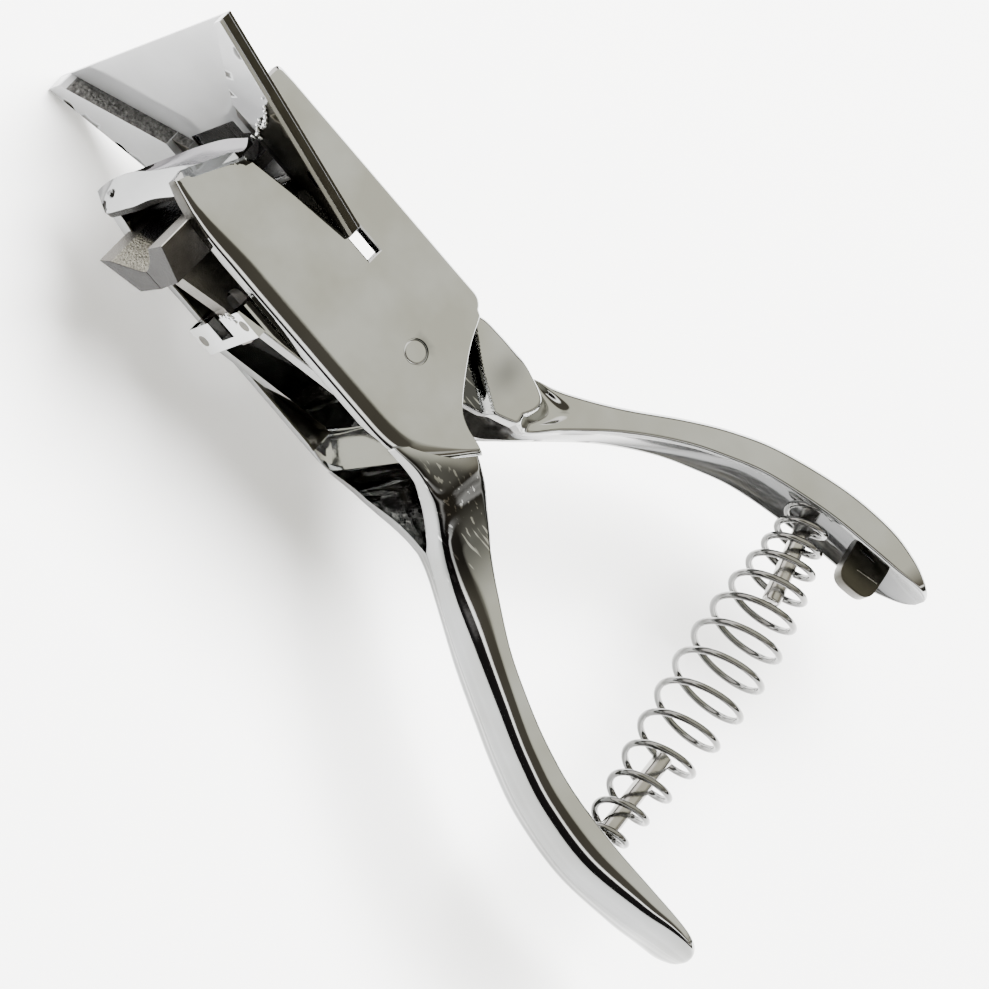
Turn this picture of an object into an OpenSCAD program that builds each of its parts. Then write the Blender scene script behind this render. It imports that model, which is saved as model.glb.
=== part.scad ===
// Plier-type corner punch: a fork-shaped frame with a V guide for the card,
// a lever with a channel jaw, a sliding crescent punch and a barrel spring.
// Lengths in mm. The origin is on the pivot axis, in the outer face of the rear
// cheek. X runs to the handle ends, Y is the cutting direction, Z is the pivot axis.

/* [Head] */
// Depth of the head over both cheeks
head_depth = 26.6; // [25:0.1:32]
// Thickness of a cheek
cheek_t = 2.3; // [1.5:0.1:2.6]
// Distance from the pivot axis to the lower edge of the cheeks
cheek_low = 14.4; // [14:0.1:17]
// Distance from the pivot axis to the upper edge of the cheeks
cheek_high = 15; // [14.5:0.1:20]
// Distance from the pivot axis to the tip of the cheeks
head_reach = 49.4; // [49:0.1:54]
// How far the chin of the rear cheek stands out past the lower tip
chin_out = 3.2; // [1:0.1:4]
// Height of the chin above the lower tip
chin_up = 1; // [0.5:0.1:3]
// How far the lower half of the tip stands back from the upper half
tip_setback = 2.2; // [0.5:0.1:3]
// Distance from the pivot axis to the closed end of the guide slit
slit_end = 15.9; // [12:0.1:19]
// Height of the guide slit above the pivot axis
slit_y = 4.2; // [3.8:0.1:5]
// How far the lower lip of the slit drops at the tip
lip_drop = 4.8; // [2:0.1:6]

/* [Card guide] */
// Distance from the pivot axis to the tip edge of the guide
guide_reach = 64.3; // [60:0.1:72]
// Twice the width of the front half of the guide at its tip edge
guide_tip_w = 59.4; // [50:0.1:64]
// How much further the rear half of the guide reaches at the tip
guide_tip_skew = 3.8; // [0:0.1:5]
// Width of the guide at its closed end
guide_end_w = 28.6; // [28:0.1:34]
// Gap between the closed end of the guide and the end of the slit
guide_end_gap = 5.2; // [1:0.1:8]
// Thickness of the guide table
table_t = 0.9; // [0.6:0.1:1.5]
// Thickness of the fences
fence_t = 1.8; // [1:0.1:2.2]
// Clearance of the guide in the slit
guide_fit = 0.05; // [0.03:0.01:0.1]
// How far both fences reach lower outside the cheeks
fence_drop = 1.3; // [0.5:0.1:2]
// Radius of the rounded corner that is cut
corner_r = 8; // [6:0.5:8.5]
// Height of the nose plate
nose_h = 4.4; // [3:0.1:6]
// How far the upper edge of the nose plate stands out past its lower edge
nose_out = 2.6; // [1:0.1:3]
// How far the lip of the throat block stands back from the upper edge of the nose plate
throat_set = 3.2; // [2:0.1:5]
// Height of the gap between the throat block and the fences
throat_gap = 0.9; // [0.5:0.1:1.5]
// Radius of the small hole in the nose plate
nose_hole_r = 0.7; // [0.5:0.05:1]

/* [Punch] */
// Width of the punch over its two arms
punch_w = 21.2; // [18:0.1:21.4]
// Width of the punch at its back
punch_back_w = 12.6; // [10:0.1:14]
// Distance from the bottom of the concave cut to the back of the punch
punch_web = 3.6; // [3:0.1:4.5]
// Length of the flared side of the punch along X
punch_flare = 7.2; // [5:0.1:8]
// Length of the punch along Y
punch_h = 20; // [18:0.1:22]
// Gap between the punch and the head around it
punch_fit = 0.2; // [0.15:0.05:0.4]
// Thickness of the plate behind the punch
backplate_t = 2.8; // [2:0.1:3.2]
// Width of the carrier bar along Z
bar_w = 3.6; // [3:0.1:6]
// Height of the carrier bar
bar_h = 5.6; // [5:0.1:6.4]

/* [Pivot] */
// Radius of the pivot rivet
rivet_r = 2.25; // [1.8:0.05:3]
// Running clearance of the rivet in the sleeve
rivet_fit = 0.05; // [0.02:0.01:0.1]
// Wall of the pivot sleeve
sleeve_t = 1.2; // [0.8:0.1:1.8]
// Radius of the spacer washers
washer_r = 6; // [5:0.1:7]
// Gap between a washer and the lever
washer_gap = 0.1; // [0.05:0.05:0.3]

/* [Lever] */
// Depth of the lever over its two walls
lever_depth = 18; // [16:0.1:19]
// Thickness of the lever walls
lever_t = 3; // [2:0.1:3.4]
// Distance from the pivot axis to the end of the jaw
jaw_reach = 24.6; // [24.2:0.1:25.6]
// Slope of the jaw's open edge
jaw_slope = 12.7; // [11:0.1:14]
// Height of the jaw at its end
jaw_h = 10.4; // [10:0.1:11]
// Thickness of the web that closes the jaw
web_t = 1.6; // [1.2:0.1:1.8]
// Distance of the jaw pin from the pivot axis along X
jaw_pin_x = 22; // [21.6:0.1:22.2]
// Radius of the jaw pin
jaw_pin_r = 1.25; // [1:0.05:1.4]
// Thickness of the bridge plate across the jaw
bridge_t = 1.7; // [1.2:0.1:2]
// Length of the bridge plate along the jaw
bridge_l = 5.4; // [5:0.1:6.5]
// Radius of the bridge rivets
bridge_rivet_r = 1.1; // [0.8:0.05:1.3]
// Length of the bridge rivets above the bridge plate
bridge_rivet_l = 1.6; // [1:0.1:1.7]
// Width of the bridge plate behind its slot
bridge_web = 1.6; // [1:0.1:2.4]
// Clearance of the carrier bar in the slot and over the bridge plate
bar_gap = 0.4; // [0.2:0.05:0.6]
// Largest closing angle of the lever in degrees
close_angle = 20; // [16:0.5:20]

/* [Handles] */
// Distance from the pivot axis to the tip of the lower handle
frame_len = 105; // [98:0.5:112]
// Distance from the pivot axis to the lowest line of the lower handle
frame_drop = 34; // [32:0.2:37]
// Distance from the pivot axis to the tip of the lever
lever_len = 91.5; // [86:0.5:97]
// Distance from the pivot axis to the highest line of the lever
lever_rise = 48.2; // [45:0.2:51]
// Depth of the handles at the grip
grip_depth = 15; // [13:0.1:17]
// Depth of the handles at the neck
neck_depth = 10; // [8:0.1:11]
// Height of the handles at the grip
grip_h = 6.6; // [5.5:0.1:7.5]
// Thickness of the palm side of the lower handle
palm_t = 4; // [3:0.1:5]
// Thickness of the palm side of the lever
lever_palm_t = 2.6; // [2:0.1:3.5]
// Thickness of the side walls of the handles
flange_t = 2; // [1.4:0.1:2.6]
// Thickness of the stop lug
lug_t = 3; // [2:0.1:4]
// Width of the stop lug
lug_w = 7.4; // [6.5:0.1:9]
// Length of the stop lug
lug_l = 8; // [6:0.1:10]
// Radius of the corners of the stop lug
lug_r = 2; // [1:0.1:2.8]
// Distance of the stop lug from the pivot axis along X
lug_x = 79.8; // [77:0.1:83]
// Tilt of the stop lug in degrees
lug_tilt = 19; // [0:1:25]

/* [Spring] */
// Distance of the lower spring seat from the pivot axis along X
seat_low_x = 81.3; // [79:0.1:84]
// Distance of the upper spring seat from the pivot axis along X
seat_high_x = 66.9; // [65:0.1:69]
// Tilt of the lower spring post in degrees
post_low_tilt = 6; // [4:0.5:9]
// Tilt of the upper spring post in degrees
post_high_tilt = 19.5; // [15:0.5:21]
// Number of coils
coils = 14; // [12:1:15]
// Diameter of the wire
wire_d = 1.2; // [0.8:0.05:1.3]
// Mean radius of the end coils
coil_end_r = 3.6; // [3.4:0.1:4]
// Mean radius of the middle coils
coil_mid_r = 7.2; // [6:0.1:8.4]
// How much closer the end coils stand than the average
coil_crowding = 0.2; // [0.1:0.01:0.3]
// Angle at which the first coil starts, in degrees
coil_start = 15; // [0:1:180]
// Radius of the spring posts
post_r = 1.6; // [1.2:0.1:1.9]
// Length of the upper post
post_high_l = 20; // [14:0.5:20]
// Length of the lower post
post_low_l = 24; // [18:0.5:24]
// Thickness of the spring seats
seat_t = 1; // [0.8:0.1:1.4]

/* [Hidden] */
chrome = "gainsboro";
steel = "darkgray";
round_fn = 48;
far = 200;
post_root = 1.4;
seat_sink = 0.7;
seat_r = coil_end_r + wire_d;
slot_fit = 0.3;
sleeve_r = rivet_r + sleeve_t;

mid = head_depth / 2;
cheek_gap = head_depth - 2 * cheek_t;
gap_half = cheek_gap / 2;

// Card guide: table against the upper side of the slit, fences under it
fence_y = slit_y + guide_fit;
table_y = fence_y + fence_t;
guide_top = table_y + table_t;
slit_h = fence_t + table_t + 2 * guide_fit;
guide_end = slit_end + guide_end_gap;

// The V meets the cut corner: its apex lies (sqrt(2) - 1) r behind the arc
arc_x = -38;
apex_x = arc_x + (sqrt(2) - 1) * corner_r;
arc_centre_x = arc_x - corner_r;
punch_back_x = arc_x + punch_web;
punch_arc_angle = 60;
punch_front_x = arc_centre_x + corner_r * cos(punch_arc_angle) - 0.5;
die_wall = 4;

// Slanted tip edge of the lower half of the cheeks, and what closes the nose there
tip_rise = 1.8;
tip_low = [tip_setback - head_reach, tip_rise - cheek_low];
chin = tip_low + [-chin_out, chin_up];
lip_tip = [tip_setback - head_reach + 4.6, slit_y - lip_drop];
nose_back_x = punch_front_x - 2 * punch_fit;
nose_top = tip_low + [-nose_out, nose_h];
throat_y = fence_y - throat_gap;
nose_arch_h = 1.4;
nose_arch_r = 18.4;
nose_hole_y = 2.6;
nose_hole_z = 2.2;
lever_tip_drop = 2.2;

// Positions of the jaw: the pin lies inside the open end of the channel
jaw_edge_y = -17.6;
jaw_root_x = 4;
jaw_root_y = jaw_edge_y + (jaw_root_x + jaw_reach) * tan(jaw_slope);
bridge_top = jaw_edge_y + bridge_t;
bar_low = bridge_top + bar_gap;
bar_top = bar_low + bar_h;
jaw_pin_y = (bar_low + bar_top) / 2;
stroke = jaw_pin_x * sin(close_angle) - jaw_pin_y * (1 - cos(close_angle));
pin_drift = -jaw_pin_y * sin(close_angle) - jaw_pin_x * (1 - cos(close_angle));
punch_top = guide_top + 0.4 - stroke;
punch_low = punch_top - punch_h;
echo(stroke = stroke, ratio_m_per_rad = stroke / 1000 / (close_angle * PI / 180));

// Point on a smooth curve between p1 and p2, with p0 and p3 as its neighbours
function curve_point(p0, p1, p2, p3, t) =
    0.5 * (2 * p1 + (p2 - p0) * t + (2 * p0 - 5 * p1 + 4 * p2 - p3) * t * t
           + (3 * p1 - p0 - 3 * p2 + p3) * t * t * t);

// Smooth open curve through all points, with n steps on each stretch
function smooth(p, n = 4) =
    let (last = len(p) - 1)
    [for (i = [0 : last - 1], k = [0 : n - 1])
         curve_point(p[max(i - 1, 0)], p[i], p[i + 1], p[min(i + 2, last)], k / n),
     p[last]];

function reversed(p) = [for (i = [len(p) - 1 : -1 : 0]) p[i]];
function mirrored(p) = [for (i = [len(p) - 1 : -1 : 0]) [p[i][0], -p[i][1]]];

// Side view of the lower handle: palm line out, inner line back
function frame_palm() = smooth([
    [0, -cheek_low], [14, -13], [25, -14.8], [36, -20.2],
    [frame_len * 0.495, -frame_drop + 6.8],
    [frame_len * 0.66, -frame_drop + 1], [frame_len * 0.77, -frame_drop],
    [frame_len * 0.88, -frame_drop + 1.8], [frame_len * 0.965, -frame_drop + 4.8],
    [frame_len, -frame_drop + grip_h]]);
function frame_inner() = smooth([
    [frame_len, -frame_drop + grip_h], [frame_len * 0.9, -frame_drop + grip_h + 0.2],
    [frame_len * 0.74, -frame_drop + grip_h + 0.2],
    [frame_len * 0.6, -frame_drop + grip_h + 2.6], [46, -18], [36, -11.4],
    [28, -5], [19.1, -2.7], [14.3, -1.7], [11.1, 0.8], [6.1, 7.6], [3.6, 13]]);

// Side view of the frame, with the tip of its lower half given by points
function frame_side(tip) = concat(
    tip, [[-30, -cheek_low]],
    frame_palm(), frame_inner(),
    [[1.6, cheek_high], [-head_reach, cheek_high],
     [-head_reach, slit_y + slit_h], [-slit_end, slit_y + slit_h],
     [-slit_end, slit_y], [-guide_end, slit_y]]);
front_tip = [lip_tip, tip_low];
rear_tip = [[nose_top[0] + throat_set, slit_y], chin, tip_low];

// Space over the palm side of the lower handle, between its side walls
trough_from = 48;
trough_to = 6;
function trough_floor(line, len, t) =
    [for (p = line) if (p[0] > trough_from && p[0] < len - trough_to) p + [0, t]];
function trough_side(floor_line, open_y) = concat(
    floor_line, [[floor_line[len(floor_line) - 1][0], open_y], [floor_line[0][0], open_y]]);
function narrowed(half, t) = [for (p = half) [p[0], p[1] - t]];

module trough(side_points, plan_half) {
    half = narrowed(plan_half, flange_t);
    intersection() {
        linear_extrude(head_depth) polygon(side_points);
        translate([0, 0, mid]) along_y(concat(half, mirrored(half)));
    }
}

// Seen along Y: outer faces of the frame and the gap between its walls
function frame_plan_half() = concat(
    [[-far, mid]],
    smooth([[8, mid], [16, mid - 1.4], [25, neck_depth / 2 + 0.9], [34, neck_depth / 2],
            [46, neck_depth / 2], [frame_len * 0.58, grip_depth / 2 - 1.2],
            [frame_len * 0.75, grip_depth / 2], [frame_len * 0.9, grip_depth / 2 - 0.4],
            [frame_len * 0.97, grip_depth / 2 - 2.4], [frame_len, 1.6]]));
function frame_gap_half() = concat(
    [[-far, gap_half]],
    smooth([[9, gap_half], [16, gap_half - 2.2], [22, 4.2], [26, 1.2], [27, 0]]));

module along_y(points) {
    rotate([90, 0, 0]) linear_extrude(far, center = true) polygon(points);
}

module frame() color(chrome) difference() {
    intersection() {
        union() {
            linear_extrude(mid) polygon(frame_side(rear_tip));
            translate([0, 0, mid]) linear_extrude(mid) polygon(frame_side(front_tip));
        }
        translate([0, 0, mid])
            along_y(concat(frame_plan_half(), mirrored(frame_plan_half())));
    }
    translate([0, 0, mid]) along_y(concat(frame_gap_half(), mirrored(frame_gap_half())));
    translate([0, 0, -1]) cylinder(r = rivet_r, h = head_depth + 2, $fn = round_fn);
    trough(trough_side(trough_floor(frame_palm(), frame_len, palm_t), 0), frame_plan_half());
    on_seat(low_seat, post_low_tilt) spring_socket();
}

// Outline of half the punch in the X-Z plane, grown by gap on all sides
function punch_half_outline(gap) =
    let (r = corner_r - gap, arm = punch_w / 2 + gap)
    concat(
        [for (a = [0 : 5 : punch_arc_angle]) [arc_centre_x + r * cos(a), r * sin(a)]],
        [[punch_front_x - gap, corner_r * sin(punch_arc_angle) - gap],
         [punch_front_x + 0.9 - gap, arm],
         [punch_back_x - punch_flare + 1, arm],
         [punch_back_x + gap, punch_back_w / 2 + gap], [punch_back_x + gap, 0]]);

module punch_prism(y0, y1, gap, side) {
    half = punch_half_outline(gap);
    translate([0, y1, mid]) rotate([90, 0, 0]) linear_extrude(y1 - y0)
        polygon([for (p = half) [p[0], side * p[1]]]);
}

module punch_space(y0, y1, gap) {
    for (side = [-1, 1]) punch_prism(y0, y1, gap, side);
}

// Fills the side view given by points between the cheeks
module between_cheeks(points) {
    translate([0, 0, cheek_t]) linear_extrude(cheek_gap) polygon(points);
}
function box_points(x0, x1, y0, y1) = [[x0, y0], [x1, y0], [x1, y1], [x0, y1]];

module nose_plate() color(chrome) difference() {
    between_cheeks([tip_low, [nose_back_x, tip_low[1]], [nose_back_x, nose_top[1]], nose_top]);
    translate([nose_top[0] - 1, tip_low[1] + nose_hole_y, cheek_t + nose_hole_z])
        rotate([0, 90, 0]) cylinder(r = nose_hole_r, h = 20, $fn = 24);
    translate([nose_top[0] - 1, tip_low[1] + nose_arch_h - nose_arch_r, mid])
        rotate([0, 90, 0]) cylinder(r = nose_arch_r, h = 20, $fn = 96);
}

module throat_block() color(chrome)
    between_cheeks([nose_top, [nose_back_x, nose_top[1]], [nose_back_x, throat_y],
                    [nose_top[0] + throat_set, throat_y]]);

module die_block() color(steel) difference() {
    between_cheeks(box_points(1 - head_reach, punch_back_x + die_wall,
                              guide_top, cheek_high - 0.8));
    punch_space(guide_top - 1, cheek_high, 0.15);
}

// Seen along Y: each half of the guide, side 1 in front and -1 behind
function guide_taper(side) =
    (guide_half_tip(side) - guide_end_w / 2) / (guide_reach - guide_end);
function guide_half_tip(side) = guide_tip_w / 2 + (side < 0 ? guide_tip_skew : 0);
function guide_half(side) = [
    [-guide_reach, 0], [-guide_end, 0], [-guide_end, guide_end_w / 2],
    [-guide_reach, guide_half_tip(side)]];

// The V runs at 45 degrees until it meets the tip or the slanted side of the guide
function v_reach(side) =
    min(guide_reach, (guide_end_w / 2 - guide_end * guide_taper(side) - apex_x)
                     / (1 - guide_taper(side)));
function fence_half(side) =
    let (reach = v_reach(side))
    [[apex_x, 0], [-guide_end, 0], [-guide_end, guide_end_w / 2],
     [-reach, guide_end_w / 2 + (reach - guide_end) * guide_taper(side)],
     [-reach, reach + apex_x - 0.01]];

module guide_slab(y0, t, half, side) {
    translate([0, y0 + t, mid]) rotate([90, 0, 0]) linear_extrude(t)
        polygon([for (p = half) [p[0], side * p[1]]]);
}

module guide_table() color(chrome) difference() {
    union() for (side = [-1, 1]) guide_slab(table_y, table_t, guide_half(side), side);
    punch_space(table_y - 1, guide_top + 1, 0.08);
}

// A riser between the cheeks, and its deeper flange outside them
module fence(side) color(chrome) {
    difference() {
        guide_slab(fence_y, fence_t, fence_half(side), side);
        punch_space(fence_y - 1, fence_y + fence_t + 1, 0.15);
    }
    intersection() {
        guide_slab(fence_y - fence_drop, fence_drop, fence_half(side), side);
        translate([-far, -far, side > 0 ? head_depth + guide_fit : -far - guide_fit])
            cube([2 * far, 2 * far, far]);
    }
}
module front_fence() fence(1);
module rear_fence() fence(-1);

module punch_backplate() color(steel)
    between_cheeks(box_points(punch_back_x + punch_fit, punch_back_x + punch_fit + backplate_t,
                              bar_top + stroke + 0.5, throat_y));

// Pivot
module pivot_rivet() color(chrome)
    cylinder(r = rivet_r, h = head_depth, $fn = round_fn);

module washer(z) translate([0, 0, z]) difference() {
    cylinder(r = washer_r, h = washer_h, $fn = round_fn);
    translate([0, 0, -1]) cylinder(r = rivet_r, h = washer_h + 2, $fn = round_fn);
}
washer_h = (cheek_gap - lever_depth) / 2 - washer_gap;
module front_washer() color(steel) washer(head_depth - cheek_t - washer_h);
module rear_washer() color(steel) washer(cheek_t);

// Spring line: a curve in the middle plane that leaves both seats along their posts
low_seat = [seat_low_x, palm_t - frame_drop - seat_sink, mid];
high_seat = [seat_high_x, lever_top(seat_high_x) - lever_palm_t + seat_sink, mid];
low_dir = [-sin(post_low_tilt), cos(post_low_tilt), 0];
high_dir = [sin(post_high_tilt), -cos(post_high_tilt), 0];
seat_gap = high_seat - low_seat;
spring_knee = low_seat + low_dir
    * cross([seat_gap[0], seat_gap[1]], [high_dir[0], high_dir[1]])
    / cross([low_dir[0], low_dir[1]], [high_dir[0], high_dir[1]]);
function lever_top(x) = lookup(x, lever_top_line());

// Places children at a seat with their Z axis along the post
module on_seat(seat, tilt) {
    translate(seat) rotate([0, 0, tilt]) rotate([-90, 0, 0]) children();
}

module spring_post(l) translate([0, 0, -post_root])
    cylinder(r = post_r, h = l + post_root, $fn = round_fn);

module spring_seat() difference() {
    cylinder(r = seat_r, h = seat_t, $fn = round_fn);
    translate([0, 0, -1]) cylinder(r = post_r, h = seat_t + 2, $fn = round_fn);
}

// What a post and its seat take out of a handle
module spring_socket() {
    translate([0, 0, -post_root]) cylinder(r = post_r, h = 2 * post_root, $fn = round_fn);
    cylinder(r = seat_r, h = 4 * seat_t, $fn = round_fn);
}

module lower_spring_post() color(steel) on_seat(low_seat, post_low_tilt) spring_post(post_low_l);
module lower_spring_seat() color(steel) on_seat(low_seat, post_low_tilt) spring_seat();
module upper_spring_post() color(steel)
    on_seat(high_seat, 180 + post_high_tilt) spring_post(post_high_l);
module upper_spring_seat() color(steel) on_seat(high_seat, 180 + post_high_tilt) spring_seat();

// Lever
function lever_top_line() = smooth([
    [-1.5, 8.2], [1.6, 13.2], [5, 15.9], [10, 16.4], [15.5, 16.7], [21, 18.4], [31.7, 25.6],
    [45.3, 36.8],
    [lever_len * 0.61, lever_rise - 5.8], [lever_len * 0.74, lever_rise - 1.8],
    [lever_len * 0.85, lever_rise], [lever_len * 0.94, lever_rise - 0.7],
    [lever_len, lever_rise - lever_tip_drop]]);
function lever_under_line() = smooth([
    [lever_len, lever_rise - lever_tip_drop], [lever_len * 0.95, lever_rise - 3.6],
    [lever_len * 0.84, lever_rise - grip_h], [lever_len * 0.72, lever_rise - 8.2],
    [lever_len * 0.6, lever_rise - 12.2], [lever_len * 0.49, lever_rise - 17.6],
    [35, 22.4], [26, 12.4], [23, 8.8], [19, 6.6], [12, 2.9], [8.6, -2], [jaw_root_x, jaw_root_y]]);

function lever_side() = concat(
    [[-jaw_reach, jaw_edge_y]],
    reversed(lever_under_line()), reversed(lever_top_line()),
    [[-jaw_reach, jaw_edge_y + jaw_h]]);

// Side view of the channel: all that lies under the web
function channel_side() = concat(
    [[-far, -far], [30, -far], [30, 12], [16, 13], [8, 10.8], [2, 7]],
    [[-jaw_reach, jaw_edge_y + jaw_h - 1.2 * web_t], [-far, jaw_edge_y + jaw_h - 1.2 * web_t]]);

function lever_plan_half() = concat(
    [[-far, lever_depth / 2]],
    smooth([[9, lever_depth / 2], [16, lever_depth / 2 - 1.2], [24, neck_depth / 2 + 0.8],
            [34, neck_depth / 2], [lever_len * 0.6, grip_depth / 2 - 1],
            [lever_len * 0.8, grip_depth / 2], [lever_len * 0.92, grip_depth / 2 - 1.6],
            [lever_len * 0.98, grip_depth / 2 - 4], [lever_len, 1.4]]));
channel_half = lever_depth / 2 - lever_t;
function channel_plan_half() = concat(
    [[-far, channel_half]],
    smooth([[9, channel_half], [16, channel_half - 0.8], [20, 3.4], [22.5, 1.4], [23.4, 0]]));

module lever() color(chrome) difference() {
    intersection() {
        linear_extrude(head_depth) polygon(lever_side());
        translate([0, 0, mid]) along_y(concat(lever_plan_half(), mirrored(lever_plan_half())));
    }
    intersection() {
        linear_extrude(head_depth) polygon(channel_side());
        translate([0, 0, mid])
            along_y(concat(channel_plan_half(), mirrored(channel_plan_half())));
    }
    trough(trough_side(trough_floor(lever_top_line(), lever_len, -lever_palm_t), 0),
           lever_plan_half());
    jaw_seat();
    cylinder(r = sleeve_r, h = head_depth, $fn = round_fn);
    translate([-jaw_pin_x, jaw_pin_y, 0]) cylinder(r = jaw_pin_r, h = head_depth, $fn = round_fn);
    for (side = [-1, 1]) bridge_rivet(side);
    on_seat(high_seat, 180 + post_high_tilt) spring_socket();
    stop_lug_shape();
}

// Seat of the bridge plate in the edges of the jaw walls
module jaw_seat() {
    translate([-jaw_reach - 1, jaw_edge_y - 1, 0]) cube([bridge_l + 1, bridge_t + 1, head_depth]);
}

module jaw_bridge() color(chrome) difference() {
    translate([-jaw_reach, jaw_edge_y, mid - lever_depth / 2]) cube([bridge_l, bridge_t, lever_depth]);
    translate([-jaw_reach - 1, jaw_edge_y - 1, mid - bar_w / 2 - bar_gap])
        cube([bridge_l + 1 - bridge_web, bridge_t + 2, bar_w + 2 * bar_gap]);
    for (side = [-1, 1]) bridge_rivet(side);
}

module bridge_rivet(side) {
    translate([bridge_l / 2 - jaw_reach, bridge_top + bridge_rivet_l,
               mid + side * (channel_half + lever_t / 2)])
        rotate([90, 0, 0]) cylinder(r = bridge_rivet_r, h = bridge_t + bridge_rivet_l, $fn = 32);
}
module front_bridge_rivet() color(steel) bridge_rivet(1);
module rear_bridge_rivet() color(steel) bridge_rivet(-1);

module jaw_pin() color(steel)
    translate([-jaw_pin_x, jaw_pin_y, mid - lever_depth / 2])
        cylinder(r = jaw_pin_r, h = lever_depth, $fn = round_fn);

module pivot_sleeve() color(steel) translate([0, 0, mid - lever_depth / 2]) difference() {
    cylinder(r = sleeve_r, h = lever_depth, $fn = round_fn);
    translate([0, 0, -1]) cylinder(r = rivet_r + rivet_fit, h = lever_depth + 2, $fn = round_fn);
}

// Stop lug: a tab with rounded corners that stands out of the lever's trough
lug_root = 0.8;
module stop_lug_shape() {
    translate([lug_x, lever_top(lug_x) - lever_palm_t, mid - lug_t / 2])
        rotate([0, 0, lug_tilt]) linear_extrude(lug_t) {
            translate([-lug_w / 2, lug_r - lug_l]) square([lug_w, lug_l - lug_r + lug_root]);
            translate([lug_r - lug_w / 2, -lug_l]) square([lug_w - 2 * lug_r, lug_r]);
            for (side = [-1, 1])
                translate([side * (lug_w / 2 - lug_r), lug_r - lug_l])
                    circle(r = lug_r, $fn = 32);
        }
}
module stop_lug() color(chrome) stop_lug_shape();

// Punch
module front_punch_half() color(steel) punch_prism(punch_low, punch_top, 0, 1);
module rear_punch_half() color(steel) punch_prism(punch_low, punch_top, 0, -1);

module punch_carrier() color(steel) {
    end_x = -jaw_pin_x + 4;
    translate([0, 0, mid - bar_w / 2]) difference() {
        linear_extrude(bar_w)
            polygon([[punch_back_x, punch_low + 3], [-jaw_reach - 0.6, bar_low], [end_x, bar_low],
                     [end_x, bar_top], [punch_back_x, bar_top]]);
        for (x = [0, -pin_drift])
            translate([x - jaw_pin_x, jaw_pin_y, -1])
                cylinder(r = jaw_pin_r + slot_fit, h = bar_w + 2, $fn = round_fn);
        translate([-pin_drift - jaw_pin_x, jaw_pin_y - jaw_pin_r - slot_fit, -1])
            cube([pin_drift, 2 * (jaw_pin_r + slot_fit), bar_w + 2]);
    }
}

// Spring: one helix of barrel shape around the spring line, with straight ends
// that stand square on the seats
coil_foot = seat_t + wire_d;
coil_rings = 8 * coils;
function line_point(t) = (1 - t) * (1 - t) * low_seat + 2 * t * (1 - t) * spring_knee
    + t * t * high_seat;
function line_dir(t) =
    let (d = (1 - t) * (spring_knee - low_seat) + t * (high_seat - spring_knee)) d / norm(d);
foot_low = coil_foot / (2 * norm(spring_knee - low_seat));
foot_high = coil_foot / (2 * norm(high_seat - spring_knee));
function coil_t(u) = foot_low + (1 - foot_low - foot_high)
    * (u - coil_crowding * sin(360 * u) / (2 * PI));
function coil_r(u) = coil_end_r + (coil_mid_r - coil_end_r) * pow(sin(180 * u), 2);
function around(t, r, a) =
    let (d = line_dir(t)) line_point(t) + r * (cos(a) * [d[1], -d[0], 0] + sin(a) * [0, 0, 1]);
function coil_point(i) =
    let (u = i / coil_rings) around(coil_t(u), coil_r(u), coil_start - 360 * coils * u);
coil_line = [for (i = [0 : coil_rings]) coil_point(i)];
coil_path = concat(
    [coil_line[0] - (coil_foot - seat_t) * low_dir], coil_line,
    [coil_line[coil_rings] - (coil_foot - seat_t) * high_dir]);
coil_gap = min([for (i = [0 : coil_rings - 5], j = [i + 5 : coil_rings])
    norm(coil_line[i] - coil_line[j])]) - wire_d;
echo(coil_gap = coil_gap);

module tube(path, r, sides = 6) {
    last = len(path) - 1;
    rings = [for (i = [0 : last])
        let (d = path[min(i + 1, last)] - path[max(i - 1, 0)],
             t = d / norm(d),
             side_v = cross(t, line_dir(i / last)), s = side_v / norm(side_v),
             up = cross(s, t))
        [for (k = [0 : sides - 1])
            path[i] + r * (cos(360 * k / sides) * up + sin(360 * k / sides) * s)]];
    points = [for (ring = rings) each ring];
    faces = concat(
        [for (i = [0 : last - 1], k = [0 : sides - 1])
            let (a = i * sides + k, b = i * sides + (k + 1) % sides)
            each [[a, b + sides, b], [a, a + sides, b + sides]]],
        [for (k = [1 : sides - 2]) [0, k, k + 1]],
        [for (k = [1 : sides - 2]) [last * sides, last * sides + k + 1, last * sides + k]]);
    polyhedron(points, faces);
}

module return_spring() color(chrome) tube(coil_path, wire_d / 2);

frame();
nose_plate();
throat_block();
die_block();
guide_table();
front_fence();
rear_fence();
punch_backplate();
pivot_rivet();
front_washer();
rear_washer();
lower_spring_post();
lower_spring_seat();
lever();
pivot_sleeve();
jaw_bridge();
front_bridge_rivet();
rear_bridge_rivet();
jaw_pin();
stop_lug();
upper_spring_post();
upper_spring_seat();
return_spring();
front_punch_half();
rear_punch_half();
punch_carrier();
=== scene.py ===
import math
from types import SimpleNamespace as Values
import bpy
import numpy as np
from mathutils import Matrix, Vector
from mathutils.geometry import delaunay_2d_cdt


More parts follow.
